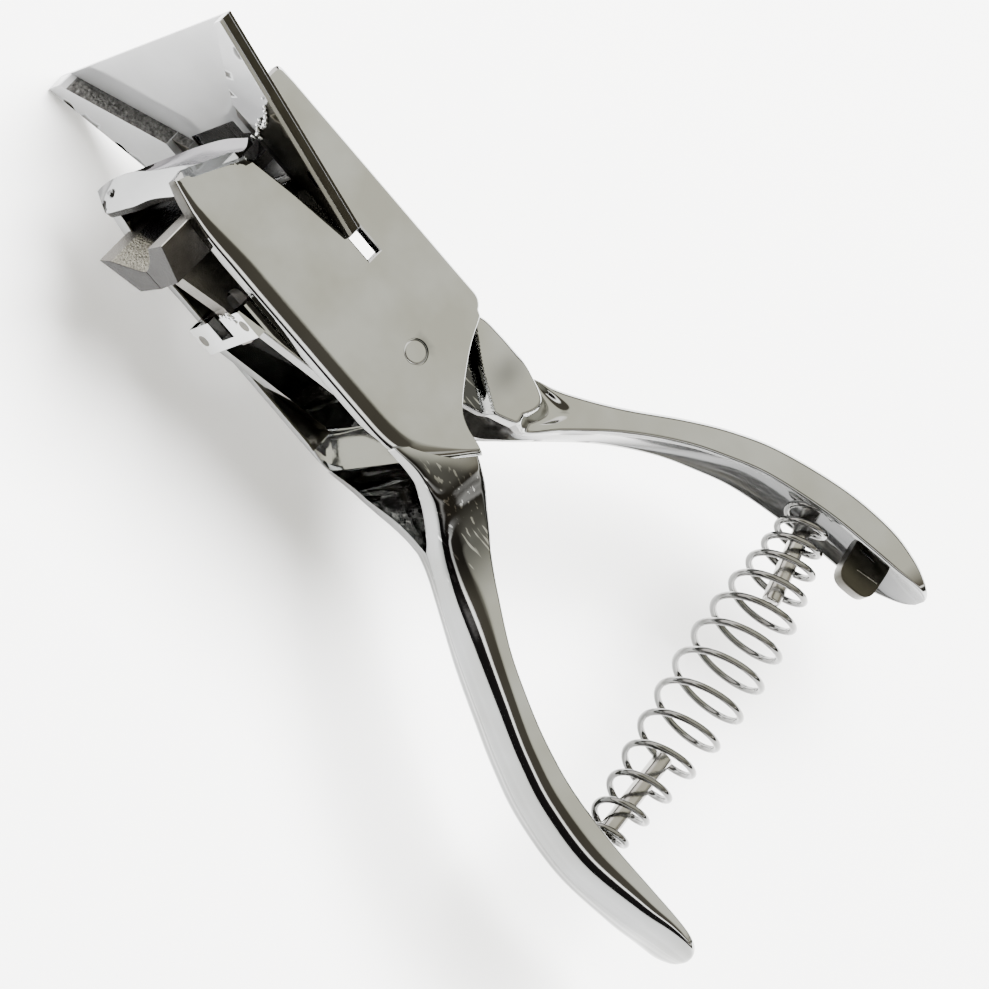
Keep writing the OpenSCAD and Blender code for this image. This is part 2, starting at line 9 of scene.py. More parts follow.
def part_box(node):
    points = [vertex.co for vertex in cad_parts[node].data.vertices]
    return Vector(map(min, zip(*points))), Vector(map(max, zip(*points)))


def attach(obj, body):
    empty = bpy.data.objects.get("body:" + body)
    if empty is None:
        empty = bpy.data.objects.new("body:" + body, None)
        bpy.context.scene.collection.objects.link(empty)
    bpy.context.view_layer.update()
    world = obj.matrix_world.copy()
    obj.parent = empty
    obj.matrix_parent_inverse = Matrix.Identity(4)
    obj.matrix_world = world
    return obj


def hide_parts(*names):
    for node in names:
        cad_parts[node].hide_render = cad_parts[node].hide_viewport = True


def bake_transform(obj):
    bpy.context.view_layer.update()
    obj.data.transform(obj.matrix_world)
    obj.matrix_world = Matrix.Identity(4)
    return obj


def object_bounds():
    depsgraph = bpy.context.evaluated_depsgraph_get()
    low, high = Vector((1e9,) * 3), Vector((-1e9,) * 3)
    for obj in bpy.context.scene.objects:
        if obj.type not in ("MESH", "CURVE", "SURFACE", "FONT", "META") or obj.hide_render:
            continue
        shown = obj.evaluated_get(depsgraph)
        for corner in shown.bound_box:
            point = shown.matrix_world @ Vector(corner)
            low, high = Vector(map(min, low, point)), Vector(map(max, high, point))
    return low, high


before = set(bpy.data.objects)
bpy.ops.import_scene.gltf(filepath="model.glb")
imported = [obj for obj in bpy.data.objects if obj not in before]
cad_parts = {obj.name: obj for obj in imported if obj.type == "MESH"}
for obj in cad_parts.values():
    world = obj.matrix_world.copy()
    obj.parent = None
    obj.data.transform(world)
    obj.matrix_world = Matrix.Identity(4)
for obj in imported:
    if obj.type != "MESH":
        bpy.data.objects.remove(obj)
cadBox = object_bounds()
print("frame loaded")

# Shapes are worked out in millimetres around the middle plane of the head (z = 0 there)
# and go into the frame's metres with this offset.
middle = 13.3
mm = 0.001


def addObject(name, data):
    made = bpy.data.objects.new(name, data)
    bpy.context.scene.collection.objects.link(made)
    return made


# The camera: a long lens, turned as the photograph was taken

view = Values(
    right=(0.639, 0.634, 0.435),  # direction that runs to the right in the picture
    up=(-0.747, 0.646, 0.156),
    aim=(25.67, -5.90, 26.6),  # point in the middle of the picture, in mm
    pixelsPerMm=6.2,
    pictureWidth=989,
    distance=7000.0,
    sensor=36.0,
    clip=(0.05, 40.0),  # in metres
)


def addCamera():
    right = Vector(view.right).normalized()
    up = Vector(view.up)
    up = (up - up.dot(right) * right).normalized()
    back = right.cross(up)
    camera = bpy.data.cameras.new("camera")
    camera.sensor_width = view.sensor
    camera.lens = view.sensor * view.distance * view.pixelsPerMm / view.pictureWidth
    camera.clip_start, camera.clip_end = view.clip
    cameraObject = addObject("camera", camera)
    turn = Matrix((right, up, back)).transposed().to_4x4()
    place = (Vector(view.aim) + view.distance * back) * mm
    cameraObject.matrix_world = Matrix.Translation(place) @ turn
    bpy.context.scene.camera = cameraObject


addCamera()
print("camera set")


# Curves and meshes


def smoothCurve(points, steps=16):
    # Catmull-Rom curve through all rows, with the same number of steps on each stretch.
    p = np.asarray(points, float)
    ends = np.vstack([2 * p[0] - p[1], p, 2 * p[-1] - p[-2]])
    t = np.linspace(0, 1, steps, endpoint=False)[None, :, None]
    a, b, c, d = (ends[i:len(ends) - 3 + i, None, :] for i in range(4))
    curve = 0.5 * (2 * b + (c - a) * t + (2 * a - 5 * b + 4 * c - d) * t ** 2
                   + (3 * b - a - 3 * c + d) * t ** 3)
    return np.vstack([curve.reshape(-1, p.shape[1]), p[-1:]])


def evenly(points, spacing, columns=3):
    # The same line with its points at equal distances, measured on the first columns.
    p = np.asarray(points, float)
    steps = np.linalg.norm(np.diff(p[:, :columns], axis=0), axis=1)
    run = np.concatenate([[0], np.cumsum(steps)])
    count = max(2, int(round(run[-1] / spacing)) + 1)
    at = np.linspace(0, run[-1], count)
    return np.stack([np.interp(at, run, p[:, k]) for k in range(p.shape[1])], axis=1)


def curveOf(points, spacing=0.8):
    return evenly(smoothCurve(points), spacing)


def roundCorner(before, corner, after, radius, steps=7):
    # Quadratic curve that cuts a corner, from radius before it to radius after it.
    b, c, a = (np.asarray(v, float) for v in (before, corner, after))
    start = c + (b - c) / np.linalg.norm(b - c) * radius
    end = c + (a - c) / np.linalg.norm(a - c) * radius
    t = np.linspace(0, 1, steps)[:, None]
    return (1 - t) ** 2 * start + 2 * t * (1 - t) * c + t ** 2 * end


def roundedPolygon(points, radius, spacing=1.2):
    # Closed polygon whose corners are all cut by roundCorner, with evenly spaced sides.
    p = np.asarray(points, float)
    radii = np.broadcast_to(radius, len(p))
    parts = [roundCorner(p[i - 1], p[i], p[(i + 1) % len(p)], radii[i]) for i in range(len(p))]
    sides = []
    for i, part in enumerate(parts):
        sides.append(part)
        sides.append(evenly([part[-1], parts[(i + 1) % len(parts)][0]], spacing)[1:-1])
    return np.vstack(sides)


def easeIn(x, low, high):
    # Smooth step: 0 below low, 1 above high, 3 t^2 - 2 t^3 between.
    t = np.clip((x - low) / (high - low), 0, 1)
    return t * t * (3 - 2 * t)


def bump(x, low, high):
    # Smooth hill: 0 outside low and high, 1 in the middle, sin^2 between.
    return np.sin(np.pi * np.clip((x - low) / (high - low), 0, 1)) ** 2


def readVectors(items, name):
    # A vector property of all faces or points of a mesh, as rows.
    values = np.empty(len(items) * 3)
    items.foreach_get(name, values)
    return values.reshape(-1, 3)


def spotsOf(items, place):
    # Where faces or points lie, x, y and z in mm round the middle plane, and their normals.
    at = readVectors(items, place) / mm - (0, 0, middle)
    normals = readVectors(items, "normal")
    return Values(**dict(zip(("x", "y", "z", "nx", "ny", "nz"), (*at.T, *normals.T))))


def makePiece(name, shape, body, material, replaced=(), sharp=34,
              inner=(), paintedShade=None):
    # One mesh object from mm points around the middle plane, smooth but for sharp edges.
    # inner holds further materials, each with the test for the faces that have it. The last
    # argument says how far painted shade darkens the plating at the points, 0 to 1. Both take
    # what spotsOf returns. Without a body the caller says what the piece follows.
    points, faces = shape
    mesh = bpy.data.meshes.new(name)
    points = np.asarray(points, float)
    mesh.from_pydata(((points + (0, 0, middle)) * mm).tolist(), [], [list(f) for f in faces])
    mesh.validate()
    mesh.shade_smooth()
    mesh.set_sharp_from_angle(angle=math.radians(sharp))
    mesh.materials.append(material)
    chosen = np.zeros(len(mesh.polygons), np.int32)
    for k, (other, test) in enumerate(inner, 1):
        mesh.materials.append(other)
        chosen[test(spotsOf(mesh.polygons, "center"))] = k
    mesh.polygons.foreach_set("material_index", chosen)
    if paintedShade:
        values = np.clip(paintedShade(spotsOf(mesh.vertices, "co")), 0, 1)
        mesh.attributes.new("paintedShade", "FLOAT", "POINT").data.foreach_set(
            "value", values.astype(np.float32))
    piece = addObject(name, mesh)
    if body:
        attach(piece, body)
    if replaced:
        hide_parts(*replaced)
    return piece


def gridFaces(rows, columns, closedRows=False, closedColumns=False, start=0):
    # Quads of a rows by columns grid of points, either way closed on itself.
    r = np.arange(rows if closedRows else rows - 1)[:, None]
    c = np.arange(columns if closedColumns else columns - 1)[None, :]
    r2, c2 = (r + 1) % rows, (c + 1) % columns
    quads = np.stack(np.broadcast_arrays(r * columns + c, r * columns + c2,
                                         r2 * columns + c2, r2 * columns + c), axis=-1)
    return (quads.reshape(-1, 4) + start).tolist()


def flipped(faces):
    return [f[::-1] for f in faces]


def loft(rings):
    # Solid whose surface runs through closed rings of points, with a flat face on both ends.
    rows, columns = rings.shape[:2]
    faces = gridFaces(rows, columns, closedColumns=True)
    faces.append(list(range(columns))[::-1])
    faces.append(list(range((rows - 1) * columns, rows * columns)))
    return outward(rings.reshape(-1, 3), faces)


def outward(points, faces):
    # Turns all faces round if the volume they enclose comes out negative.
    total = 0.0
    for count in (3, 4):
        some = np.array([f for f in faces if len(f) == count])
        if len(some):
            for k in range(1, count - 1):
                a, b, c = points[some[:, 0]], points[some[:, k]], points[some[:, k + 1]]
                total += np.einsum("ij,ij->i", a, np.cross(b, c)).sum()
    return (points, flipped(faces)) if total < 0 else (points, faces)


def mirrorZ(shape):
    # The same shape on the other side of the middle plane.
    points, faces = shape
    return points * (1, 1, -1), flipped(faces)


def joined(*shapes):
    # Several point and face sets as one.
    points, faces, start = [], [], 0
    for p, f in shapes:
        points.append(p)
        faces += [[i + start for i in face] for face in f]
        start += len(p)
    return np.vstack(points), faces


def insideOf(polygon, points):
    # True where a point lies inside the polygon: a line from it crosses an odd number of sides.
    x, y = points[:, 0, None], points[:, 1, None]
    x1, y1 = polygon[None, :, 0], polygon[None, :, 1]
    x2, y2 = np.roll(polygon[:, 0], -1)[None], np.roll(polygon[:, 1], -1)[None]
    crosses = ((y1 > y) != (y2 > y)) & (x < (x2 - x1) * (y - y1) / (y2 - y1 + 1e-12) + x1)
    return crosses.sum(axis=1) % 2 == 1


def clearOf(polygon, points, gap):
    # True where a point is at least gap away from every side of the polygon.
    a, b = polygon[None], np.roll(polygon, -1, axis=0)[None]
    along = b - a
    t = np.clip(((points[:, None] - a) * along).sum(-1) / ((along ** 2).sum(-1) + 1e-12), 0, 1)
    return np.linalg.norm(points[:, None] - a - t[..., None] * along, axis=-1).min(axis=1) > gap


def insetRing(outline, inset):
    # Every point of a closed outline moved inwards by its own inset, square to the line, and
    # up to 1.5 times as far at a corner.
    ahead = np.roll(outline, -1, axis=0) - outline
    behind = outline - np.roll(outline, 1, axis=0)
    ahead /= np.linalg.norm(ahead, axis=1)[:, None] + 1e-12
    behind /= np.linalg.norm(behind, axis=1)[:, None] + 1e-12
    normal = np.stack([-(ahead + behind)[:, 1], (ahead + behind)[:, 0]], axis=1)
    length = np.linalg.norm(normal, axis=1)[:, None] + 1e-12
    reach = np.clip(2 / length, 1, 1.5)
    return outline + normal / length * reach * np.asarray(inset)[:, None]


# Edge of a plate: inset across the face and drop down its side, each from 0 to 1.
quarterEdge = [(1 - math.cos(a), 1 - math.sin(a)) for a in np.linspace(0, np.pi / 2, 7)]
shoulderEdge = [(0, 1), (0.012, 0.87), (0.04, 0.775), (0.10, 0.685), (0.21, 0.535), (0.34, 0.39),
                (0.54, 0.235), (0.76, 0.085), (0.89, 0.025), (1, 0)]
boreSides = 40


def filled(rim, bore, spacing):
    # Triangles over a closed rim, less a round bore, and for each of their points its number in
    # rim and bore, or -1.
    low, high = rim.min(axis=0), rim.max(axis=0)
    gx, gy = np.meshgrid(*(np.arange(low[k], high[k], spacing) for k in (0, 1)))
    seeds = np.column_stack([gx.ravel(), gy.ravel()])
    seeds = seeds[insideOf(rim, seeds)]
    seeds = seeds[clearOf(rim, seeds, 0.55 * spacing)]
    if len(bore):
        seeds = seeds[~insideOf(bore, seeds)]
        seeds = seeds[clearOf(bore, seeds, 0.5 * spacing)]
    n, m = len(rim), len(bore)
    edges = [(i, (i + 1) % n) for i in range(n)] + [(n + i, n + (i + 1) % m) for i in range(m)]
    flat = np.vstack([rim, bore, seeds])
    made = delaunay_2d_cdt([Vector(v) for v in flat.tolist()], edges, [], 0, 1e-6)
    points = np.array([list(v) for v in made[0]])
    triangles = np.array([list(f) for f in made[2] if len(f) == 3])
    centres = points[triangles].mean(axis=1)
    keep = insideOf(rim, centres)
    if m:
        keep &= ~insideOf(bore, centres)
    source = np.array([ids[0] if ids else -1 for ids in made[3]])
    return points, triangles[keep], np.where(source < n + m, source, -1)


def plate(outline, width, depth, outer, inner, bore=None, edge=quarterEdge, innerRound=0.3,
          spacing=1.3):
    # Closed plate over a flat outline. Outer and inner give the heights of its two faces at
    # (x, y). The outer rim follows edge: inset = width e0 and drop = depth e1, both per point.
    # The bore is a circle: x, y and radius.
    outline = np.asarray(outline, float)
    width, depth = (np.broadcast_to(v, len(outline)).astype(float) for v in (width, depth))
    ahead = np.roll(outline, -1, axis=0)
    if np.sum(outline[:, 0] * ahead[:, 1] - ahead[:, 0] * outline[:, 1]) < 0:
        outline, width, depth = outline[::-1], width[::-1], depth[::-1]
        edge = [[v[::-1] if np.ndim(v) else v for v in step] for step in edge]
    n = len(outline)
    points, rims = [], []
    for height, sign, profile in ((outer, 1, edge), (inner, -1, quarterEdge)):
        w, h = (width, depth) if sign > 0 else (innerRound, innerRound)
        for e0, e1 in profile:
            flat = insetRing(outline, np.broadcast_to(w * e0, n))
            points.append(np.column_stack([flat, height(*flat.T) - sign * h * e1]))
        rims.append(flat)
    start, k = len(edge) * n, np.arange(n)
    faces = gridFaces(len(edge), n, closedColumns=True)
    faces += flipped(gridFaces(len(quarterEdge), n, closedColumns=True, start=start))
    faces += np.stack([k, start + k, start + (k + 1) % n, (k + 1) % n], axis=1).tolist()
    points = np.vstack(points)
    turn = np.linspace(0, 2 * np.pi, boreSides, endpoint=False)
    ring = np.empty((0, 2))
    if bore:
        ring = np.column_stack([bore[0] + bore[2] * np.cos(turn), bore[1] + bore[2] * np.sin(turn)])
    ends = []
    for rim, height, last, up in ((rims[0], outer, start - n, True),
                                  (rims[1], inner, start + len(quarterEdge) * n - n, False)):
        flat, triangles, source = filled(rim, ring, spacing)
        where = np.arange(len(flat)) + len(points)
        onRim = (source >= 0) & (source < n)
        where[onRim] = last + source[onRim]
        onBore = source >= n
        ends.append(where[onBore][np.argsort(source[onBore])])
        points = np.vstack([points, np.column_stack([flat, height(*flat.T)])])
        triangles = where[triangles]
        a, b, c = (points[triangles[:, i]] for i in range(3))
        wrong = (np.cross(b - a, c - a)[:, 2] > 0) != up
        triangles[wrong] = triangles[wrong][:, ::-1]
        faces += triangles.tolist()
    a, b = ends
    faces += np.stack([np.roll(a, 1), a, b, np.roll(b, 1)], axis=1).tolist()
    used = np.unique(np.concatenate([np.ravel(f) for f in faces]))
    renumber = np.full(len(points), -1)
    renumber[used] = np.arange(len(used))
    return points[used], [renumber[f].tolist() for f in faces]


def slab(outline, low, high, edge=0.2, spacing=2.0, axis="z"):
    # Flat plate square to z, with its outline in x and y, or square to y, with it in x and z.
    points, faces = plate(outline, edge, edge, lambda a, b: np.full_like(a, high),
                          lambda a, b: np.full_like(a, low), innerRound=edge, spacing=spacing)
    return outward(points[:, [0, 2, 1]] if axis == "y" else points, faces)


def tube(path, radius, sides=14):
    # Round section carried along a path: centre + radius (cos a side + sin a up).
    p = np.asarray(path, float)
    radius = np.broadcast_to(radius, len(p))[:, None, None]
    along = np.gradient(p, axis=0)
    along /= np.linalg.norm(along, axis=1)[:, None]
    side = np.cross(along, (0.0, 0.0, 1.0))
    flat = np.linalg.norm(side, axis=1) < 1e-3
    side[flat] = (1.0, 0.0, 0.0)
    side /= np.linalg.norm(side, axis=1)[:, None]
    up = np.cross(side, along)
    a = np.linspace(0, 2 * np.pi, sides, endpoint=False)[None, :, None]
    return loft(p[:, None] + radius * (np.cos(a) * side[:, None] + np.sin(a) * up[:, None]))


def turned(profile, foot, direction, sides=48, bored=False):
    # Profile of (radius, height) rows spun round a line that starts at foot. A bored one is a
    # ring: its last row joins its first.
    profile = np.asarray(profile, float)
    direction = np.asarray(direction, float) / np.linalg.norm(direction)
    other = np.array([0, 0, 1.0]) if abs(direction[2]) < 0.9 else np.array([1.0, 0, 0])
    side = np.cross(direction, other)
    side /= np.linalg.norm(side)
    up = np.cross(direction, side)
    a = np.linspace(0, 2 * np.pi, sides, endpoint=False)[None, :, None]
    rings = (np.asarray(foot, float) + profile[:, 1, None, None] * direction
             + profile[:, 0, None, None] * (np.cos(a) * side + np.sin(a) * up))
    if bored:
        return outward(rings.reshape(-1, 3), gridFaces(len(profile), sides, True, True))
    return loft(rings)


# Materials


class Socket:
    # Wraps a node socket, so that shader sums are written as plain expressions.
    def __init__(self, maker, link):
        self.maker = maker
        self.link = link

    def sum(self, kind, other, swap=False):
        values = (other, self) if swap else (self, other)
        return self.maker.node("Math", dict(enumerate(values)), operation=kind)

    __add__ = lambda self, other: self.sum("ADD", other)
    __radd__ = lambda self, other: self.sum("ADD", other, True)
    __sub__ = lambda self, other: self.sum("SUBTRACT", other)
    __rsub__ = lambda self, other: self.sum("SUBTRACT", other, True)
    __mul__ = lambda self, other: self.sum("MULTIPLY", other)
    __rmul__ = lambda self, other: self.sum("MULTIPLY", other, True)


class Maker:
    # Builds one node tree. node() takes a type, its sockets' values or links and its settings.
    def __init__(self, tree):
        self.tree = tree
        tree.nodes.clear()

    def node(self, kind, sockets=None, out=0, **settings):
        made = self.tree.nodes.new("ShaderNode" + kind)
        for key, value in settings.items():
            if key == "stops":
                self.setStops(made.color_ramp, value)
            else:
                setattr(made, key, value)
        for key, value in (sockets or {}).items():
            if isinstance(value, Socket):
                self.tree.links.new(value.link, made.inputs[key])
            else:
                made.inputs[key].default_value = value
        return Socket(self, made.outputs[out]) if len(made.outputs) else None

    def setStops(self, ramp, stops):
        while len(ramp.elements) > 1:
            ramp.elements.remove(ramp.elements[-1])
        for i, (place, colour) in enumerate(stops):
            stop = ramp.elements[0] if i == 0 else ramp.elements.new(place)
            stop.position = place
            stop.color = (*colour, 1)

    def mix(self, factor, a, b):
        return self.node("Mix", {0: factor, 6: a, 7: b}, out=2, data_type="RGBA")

    def parts(self, vector):
        made = self.tree.nodes.new("ShaderNodeSeparateXYZ")
        self.tree.links.new(vector.link, made.inputs[0])
        return [Socket(self, output) for output in made.outputs]


def makerFor(block):
    block.use_nodes = True
    return Maker(block.node_tree)


wearAndShade = Values(
    hairScale=(90, 5200, 900), hairStops=(0.66, 0.72), blotchStops=(0.4, 0.62),
    streakTurn=48, streakScale=(170, 1500, 1500), streakStops=(0.60, 0.66),
    streakFrom=0.64, streakFull=0.72, streakShare=0.85,  # painted shade level that gets bright painted highlight streaks
    deep=0.13, pitRelief=1.2, pitTint=0.75, hairRelief=-0.4, soot=0.004,
)


def metal(name, base, **changes):
    # Metal with slow blotches in colour and gloss, fine grain, hairline scratches and a bump.
    # A point attribute darkens it with painted shade, and where it is high, bright streaks of
    # painted highlight are left.
    look = {**base, **changes}
    material = bpy.data.materials.new(name)
    m = makerFor(material)
    place = m.node("TexCoord", out=3)
    spot = m.node("Mapping", {"Vector": place, "Scale": (1 / mm, 1 / mm, 1 / mm)})
    stretched = lambda turn, scale: m.node("Mapping", {
        "Vector": place, "Rotation": (0, 0, math.radians(turn)), "Scale": scale})
    noise = lambda vector, scale, detail: m.node("TexNoise", {
        "Vector": vector, "Scale": scale, "Detail": detail})
    above = lambda value, stops: m.node("ValToRGB", {0: value}, stops=[
        (stops[0], (0, 0, 0)), (stops[1], (1, 1, 1))])
    between = lambda value, low, high: m.node("MapRange", {
        "Value": value, "From Min": low, "From Max": high}, clamp=True)
    shade = lambda share: (*(c * share for c in look["colour"]), 1)
    slow, fine = noise(spot, look["blotch"], 3.0), noise(spot, look["grain"], 4.0)
    hair = noise(stretched(look["scratchTurn"], wearAndShade.hairScale), 1.0, 2.0)
    scratch = above(hair, wearAndShade.hairStops) * look["scratch"]
    tint = m.mix(above(slow, wearAndShade.blotchStops), (*look["worn"], 1), shade(1))
    tint = m.mix(scratch, tint, shade(look["scratchShade"]))
    paintedShade = m.node("Attribute", out=2, attribute_name="paintedShade")
    # Painted shade: the colour goes down to deep times itself as the attribute rises, and painted
    # highlight streaks stay bright where it is high.
    streak = noise(stretched(wearAndShade.streakTurn, wearAndShade.streakScale), 1.0, 1.0)
    streaked = between(paintedShade, wearAndShade.streakFrom, wearAndShade.streakFull) * wearAndShade.streakShare
    tint = m.mix(paintedShade * (1 - above(streak, wearAndShade.streakStops) * streaked), tint, shade(wearAndShade.deep))
    gloss = look["roughness"] + (slow - 0.5) * look["spread"] + (fine - 0.5) * look["spread"]
    relief = slow * look["wave"] + fine * look["relief"] + scratch * wearAndShade.hairRelief
    if "pits" in look:
        pits = m.node("TexVoronoi", {"Vector": spot, "Scale": look["pits"]})
        relief = relief + pits * wearAndShade.pitRelief
        tint = m.mix(pits, shade(wearAndShade.pitTint), tint)
    if "fade" in look:
        # Painted shade: near black above a slanted level: y + slope z from low to high.
        slope, low, high = look["fade"]
        up, aside = m.parts(spot)[1:]
        tint = m.mix(between(up + aside * slope, low, high), tint, (*[wearAndShade.soot] * 3, 1))
    surface = m.node("Bump", {
        "Strength": look["strength"], "Distance": 0.0001, "Height": relief})
    shader = m.node("BsdfPrincipled", {
        "Base Color": tint, "Metallic": look["metallic"], "Roughness": gloss, "Normal": surface})
    m.node("OutputMaterial", {"Surface": shader})
    return material


platingLook = {
    "colour": (0.41, 0.42, 0.425), "worn": (0.345, 0.35, 0.34), "metallic": 1.0,
    "roughness": 0.055, "spread": 0.03, "blotch": 0.07, "grain": 1.4, "wave": 0.8,
    "relief": 0.10, "strength": 0.30, "scratch": 0.0, "scratchTurn": 40, "scratchShade": 0.7,
}
turnedLook = {
    **platingLook, "colour": (0.40, 0.395, 0.38), "worn": (0.30, 0.295, 0.28), "roughness": 0.16,
    "spread": 0.10, "relief": 0.35, "grain": 2.6, "scratch": 0.2, "scratchTurn": 10,
}
toolLook = {
    "colour": (0.17, 0.162, 0.148), "worn": (0.12, 0.114, 0.104), "metallic": 1.0,
    "roughness": 0.40, "spread": 0.14, "blotch": 0.2, "grain": 3.4, "wave": 0.3,
    "relief": 1.2, "strength": 0.7, "scratch": 0.3, "scratchTurn": 35, "scratchShade": 0.6,
}
tableLook = {
    **platingLook, "colour": (0.36, 0.366, 0.375), "worn": (0.33, 0.336, 0.342), "metallic": 0.42,
    "roughness": 0.10, "spread": 0.06,
}

chrome = metal("brightPlating", platingLook)
turnedSteel = metal("turnedSteel", turnedLook)
hollowSteel = metal("hollowSteel", turnedLook, colour=(0.21, 0.206, 0.20),
                    worn=(0.13, 0.127, 0.122), roughness=0.36, spread=0.12, metallic=0.6)
springSteel = metal("springSteel", platingLook, colour=(0.24, 0.24, 0.235),
                    worn=(0.19, 0.19, 0.185), roughness=0.12)
# blackSteel is black steel and also painted shade: it is put on the slit's walls, the nose's
# undersides and the dent of its hole, where there is only shade.
blackSteel = metal("blackenedSteelAndShade", toolLook, colour=(0.010, 0.0096, 0.009),
                   worn=(0.008, 0.0077, 0.0072))
toolSteel = metal("groundSteel", toolLook)
tornSteel = metal("tornSteel", toolLook, colour=(0.085, 0.084, 0.080), worn=(0.022, 0.0215, 0.021),
                  roughness=0.34, blotch=1.1, pits=1.7, strength=1.0, grain=2.4)
# Painted shade: grainSteel and punchSteel turn near black towards the top of the punch, which lies
# inside the head.
grainSteel = metal("grainSteel", toolLook, colour=(0.20, 0.19, 0.155),
                   worn=(0.010, 0.0093, 0.0078), roughness=0.42, blotch=2.6, pits=2.6,
                   strength=1.0, grain=3.0, relief=2.4, fade=(0.2, -13.6, -12.4))
tableSteel = metal("tablePlating", tableLook)
# oliveSteel is dark plating and also painted shade: it is put on the cheeks' inner faces inside the
# head and on the fences' risers, where there is only shade.
oliveSteel = metal("darkPlatingAndShade", toolLook, colour=(0.05, 0.047, 0.037), worn=(0.04, 0.037, 0.03),
                   roughness=0.32, relief=0.3, strength=0.3)
punchSteel = metal("punchSteel", toolLook, colour=(0.075, 0.070, 0.062),
                   worn=(0.06, 0.056, 0.050), fade=(0.1, -12.0, -8.0))
soleSteel = metal("soleSteel", toolLook, colour=(0.0115, 0.0105, 0.0100),
                  worn=(0.009, 0.0083, 0.0079))
throatSteel = metal("throatSteel", turnedLook, colour=(0.155, 0.15, 0.162),
                    worn=(0.13, 0.126, 0.136), roughness=0.22, metallic=0.5)
noseSteel = metal("nosePlating", tableLook, colour=(0.23, 0.235, 0.24), worn=(0.20, 0.204, 0.208))
palmShade = Values(most=0.62, slopes=(0.3, 0.9))     # painted shade: the side that faces down is darkened
undersideShade = lambda f: palmShade.most * easeIn(-f.ny, *palmShade.slopes)
print("materials made")


# The frame: two cheeks, a neck that joins them, and the lower handle

head = Values(
    high=15.0, reach=-49.4, slitLow=4.2, slitHigh=7.0,
    slitEnd=-15.9, guideEnd=-21.1, half=13.3, cheek=2.3, bore=2.3,
    lip=[(-42.7, -0.3), (-44.5, -1.4), (-48.2, -10.2), (-47.9, -12.7)],
    frontLip=1.9, rearLip=0.5,  # widths of the lip's bevel
    palm=[(-42, -13.9), (-37, -14.4), (-30, -14.4), (-15, -14.4), (0, -14.4), (6, -14.3),
          (9.6, -13.7), (12.2, -12.4), (15.4, -8.9), (19.9, -2.6)],
    behind=[(19.4, -2.4), (14.3, -1.5), (11.1, 0.8), (6.1, 7.6), (3.4, 13)],
    rearCorner=[(4.2, 10.5), (1.6, 15.0), (-10, 15.0)], rearCut=1.8, tipCut=1.2,
    shoulder=(3.5, 2.3),  # width and depth of the soft edge
    cornerGap=1.5, stepFrom=9, stepTop=-2.45, tipFrom=-26,
    tipRun=[-47, -43, -36, -28], tipWidths=[0.9, 1.5, 2.8, 3.5], tipDepth=0.66,
    stepRun=[9, 12, 15, 18.5], stepWidths=[3.4, 3.2, 2.4, 1.2],
    stepDepths=[2.3, 2.2, 1.8, 1.3],
    fold=1.6, foldUp=(-13.6, -12.0), foldAlong=(-8, -2),  # inner edge of the shoulder
    inside=11.2, insideEnd=4, slitEdge=0.3, slitMarks=(-22, -10),
    tipSide=(-37, 10.4),  # x and z that the side lies beyond
    neckFrom=(6.4, -13.0), neckTo=(19.1, -2.7), neckDull=0.92, neckEase=(1.2, 4),
    neckStart=5, neckEnd=(30, 40), neckSlopes=(0.1, 0.5),
)


def cheekOutline(front):
    # Closed outline of a cheek. Every point has the width and depth of its soft edge and a share
    # that is 1 where the edge is a plain bevel.
    high, reach, gap, lip, palm = head.high, head.reach, head.cornerGap, head.lip, head.palm
    slitLow, slitHigh = head.slitLow, head.slitHigh
    slitEnd, guideEnd = head.slitEnd, head.guideEnd
    lipWidth = head.frontLip if front else head.rearLip
    plain, shoulder = (0.25, 0.2, 1), (*head.shoulder, 0)
    parts = [
        (evenly([(slitEnd, slitHigh), (slitEnd, slitLow)], 0.7), 0.2, 0.15, 1),
        (evenly([(slitEnd, slitLow), (guideEnd, slitLow)], 0.9), *plain),
        (evenly([(guideEnd, slitLow), lip[0]], 0.9), *plain),
        (evenly(lip[:3], 0.6), lipWidth, 0.55 * lipWidth, 1),
        (evenly(lip[2:], 0.6), 0.5, 0.4, 1),
        (evenly([lip[-1], palm[0]], 0.7), *shoulder),
        (curveOf(palm, 0.7), *shoulder),
        (curveOf(head.behind, 0.8), 0.12, 0.1, 1),
        (roundCorner(*head.rearCorner, head.rearCut), *plain),
        (evenly([(-gap, high), (reach + gap, high)], 1.2), 0.3, 0.25, 1),
        (roundCorner((reach + 5, high), (reach, high), (reach, slitHigh), head.tipCut),
         0.6, 0.5, 1),
        (evenly([(reach, high - gap), (reach, slitHigh)], 0.8), 0.5, 0.4, 1),
        (evenly([(reach, slitHigh), (slitEnd, slitHigh)], 0.9), *plain),
    ]
    outline = np.vstack([part[0] for part in parts])
    width, depth, bevel = (np.concatenate([np.full(len(part[0]), float(part[k]))
                                           for part in parts]) for k in (1, 2, 3))
    x, y = outline.T
    # The shoulder narrows along the step down to the neck, and towards the tip.
    step = (x > head.stepFrom) & (y < head.stepTop) & (width > 3)
    width[step] = np.interp(x[step], head.stepRun, head.stepWidths)
    depth[step] = np.interp(x[step], head.stepRun, head.stepDepths)
    tip = (x < head.tipFrom) & (width > 3)
    width[tip] = np.interp(x[tip], head.tipRun, head.tipWidths)
    depth[tip] = head.tipDepth * width[tip]
    apart = np.linalg.norm(outline - np.roll(outline, 1, axis=0), axis=1) > 0.05
    kernel = np.ones(5) / 5
    soft = [np.convolve(np.concatenate([v[-2:], v, v[:2]]), kernel, "valid")
            for v in (width[apart], depth[apart], bevel[apart])]
    return [outline[apart]] + soft


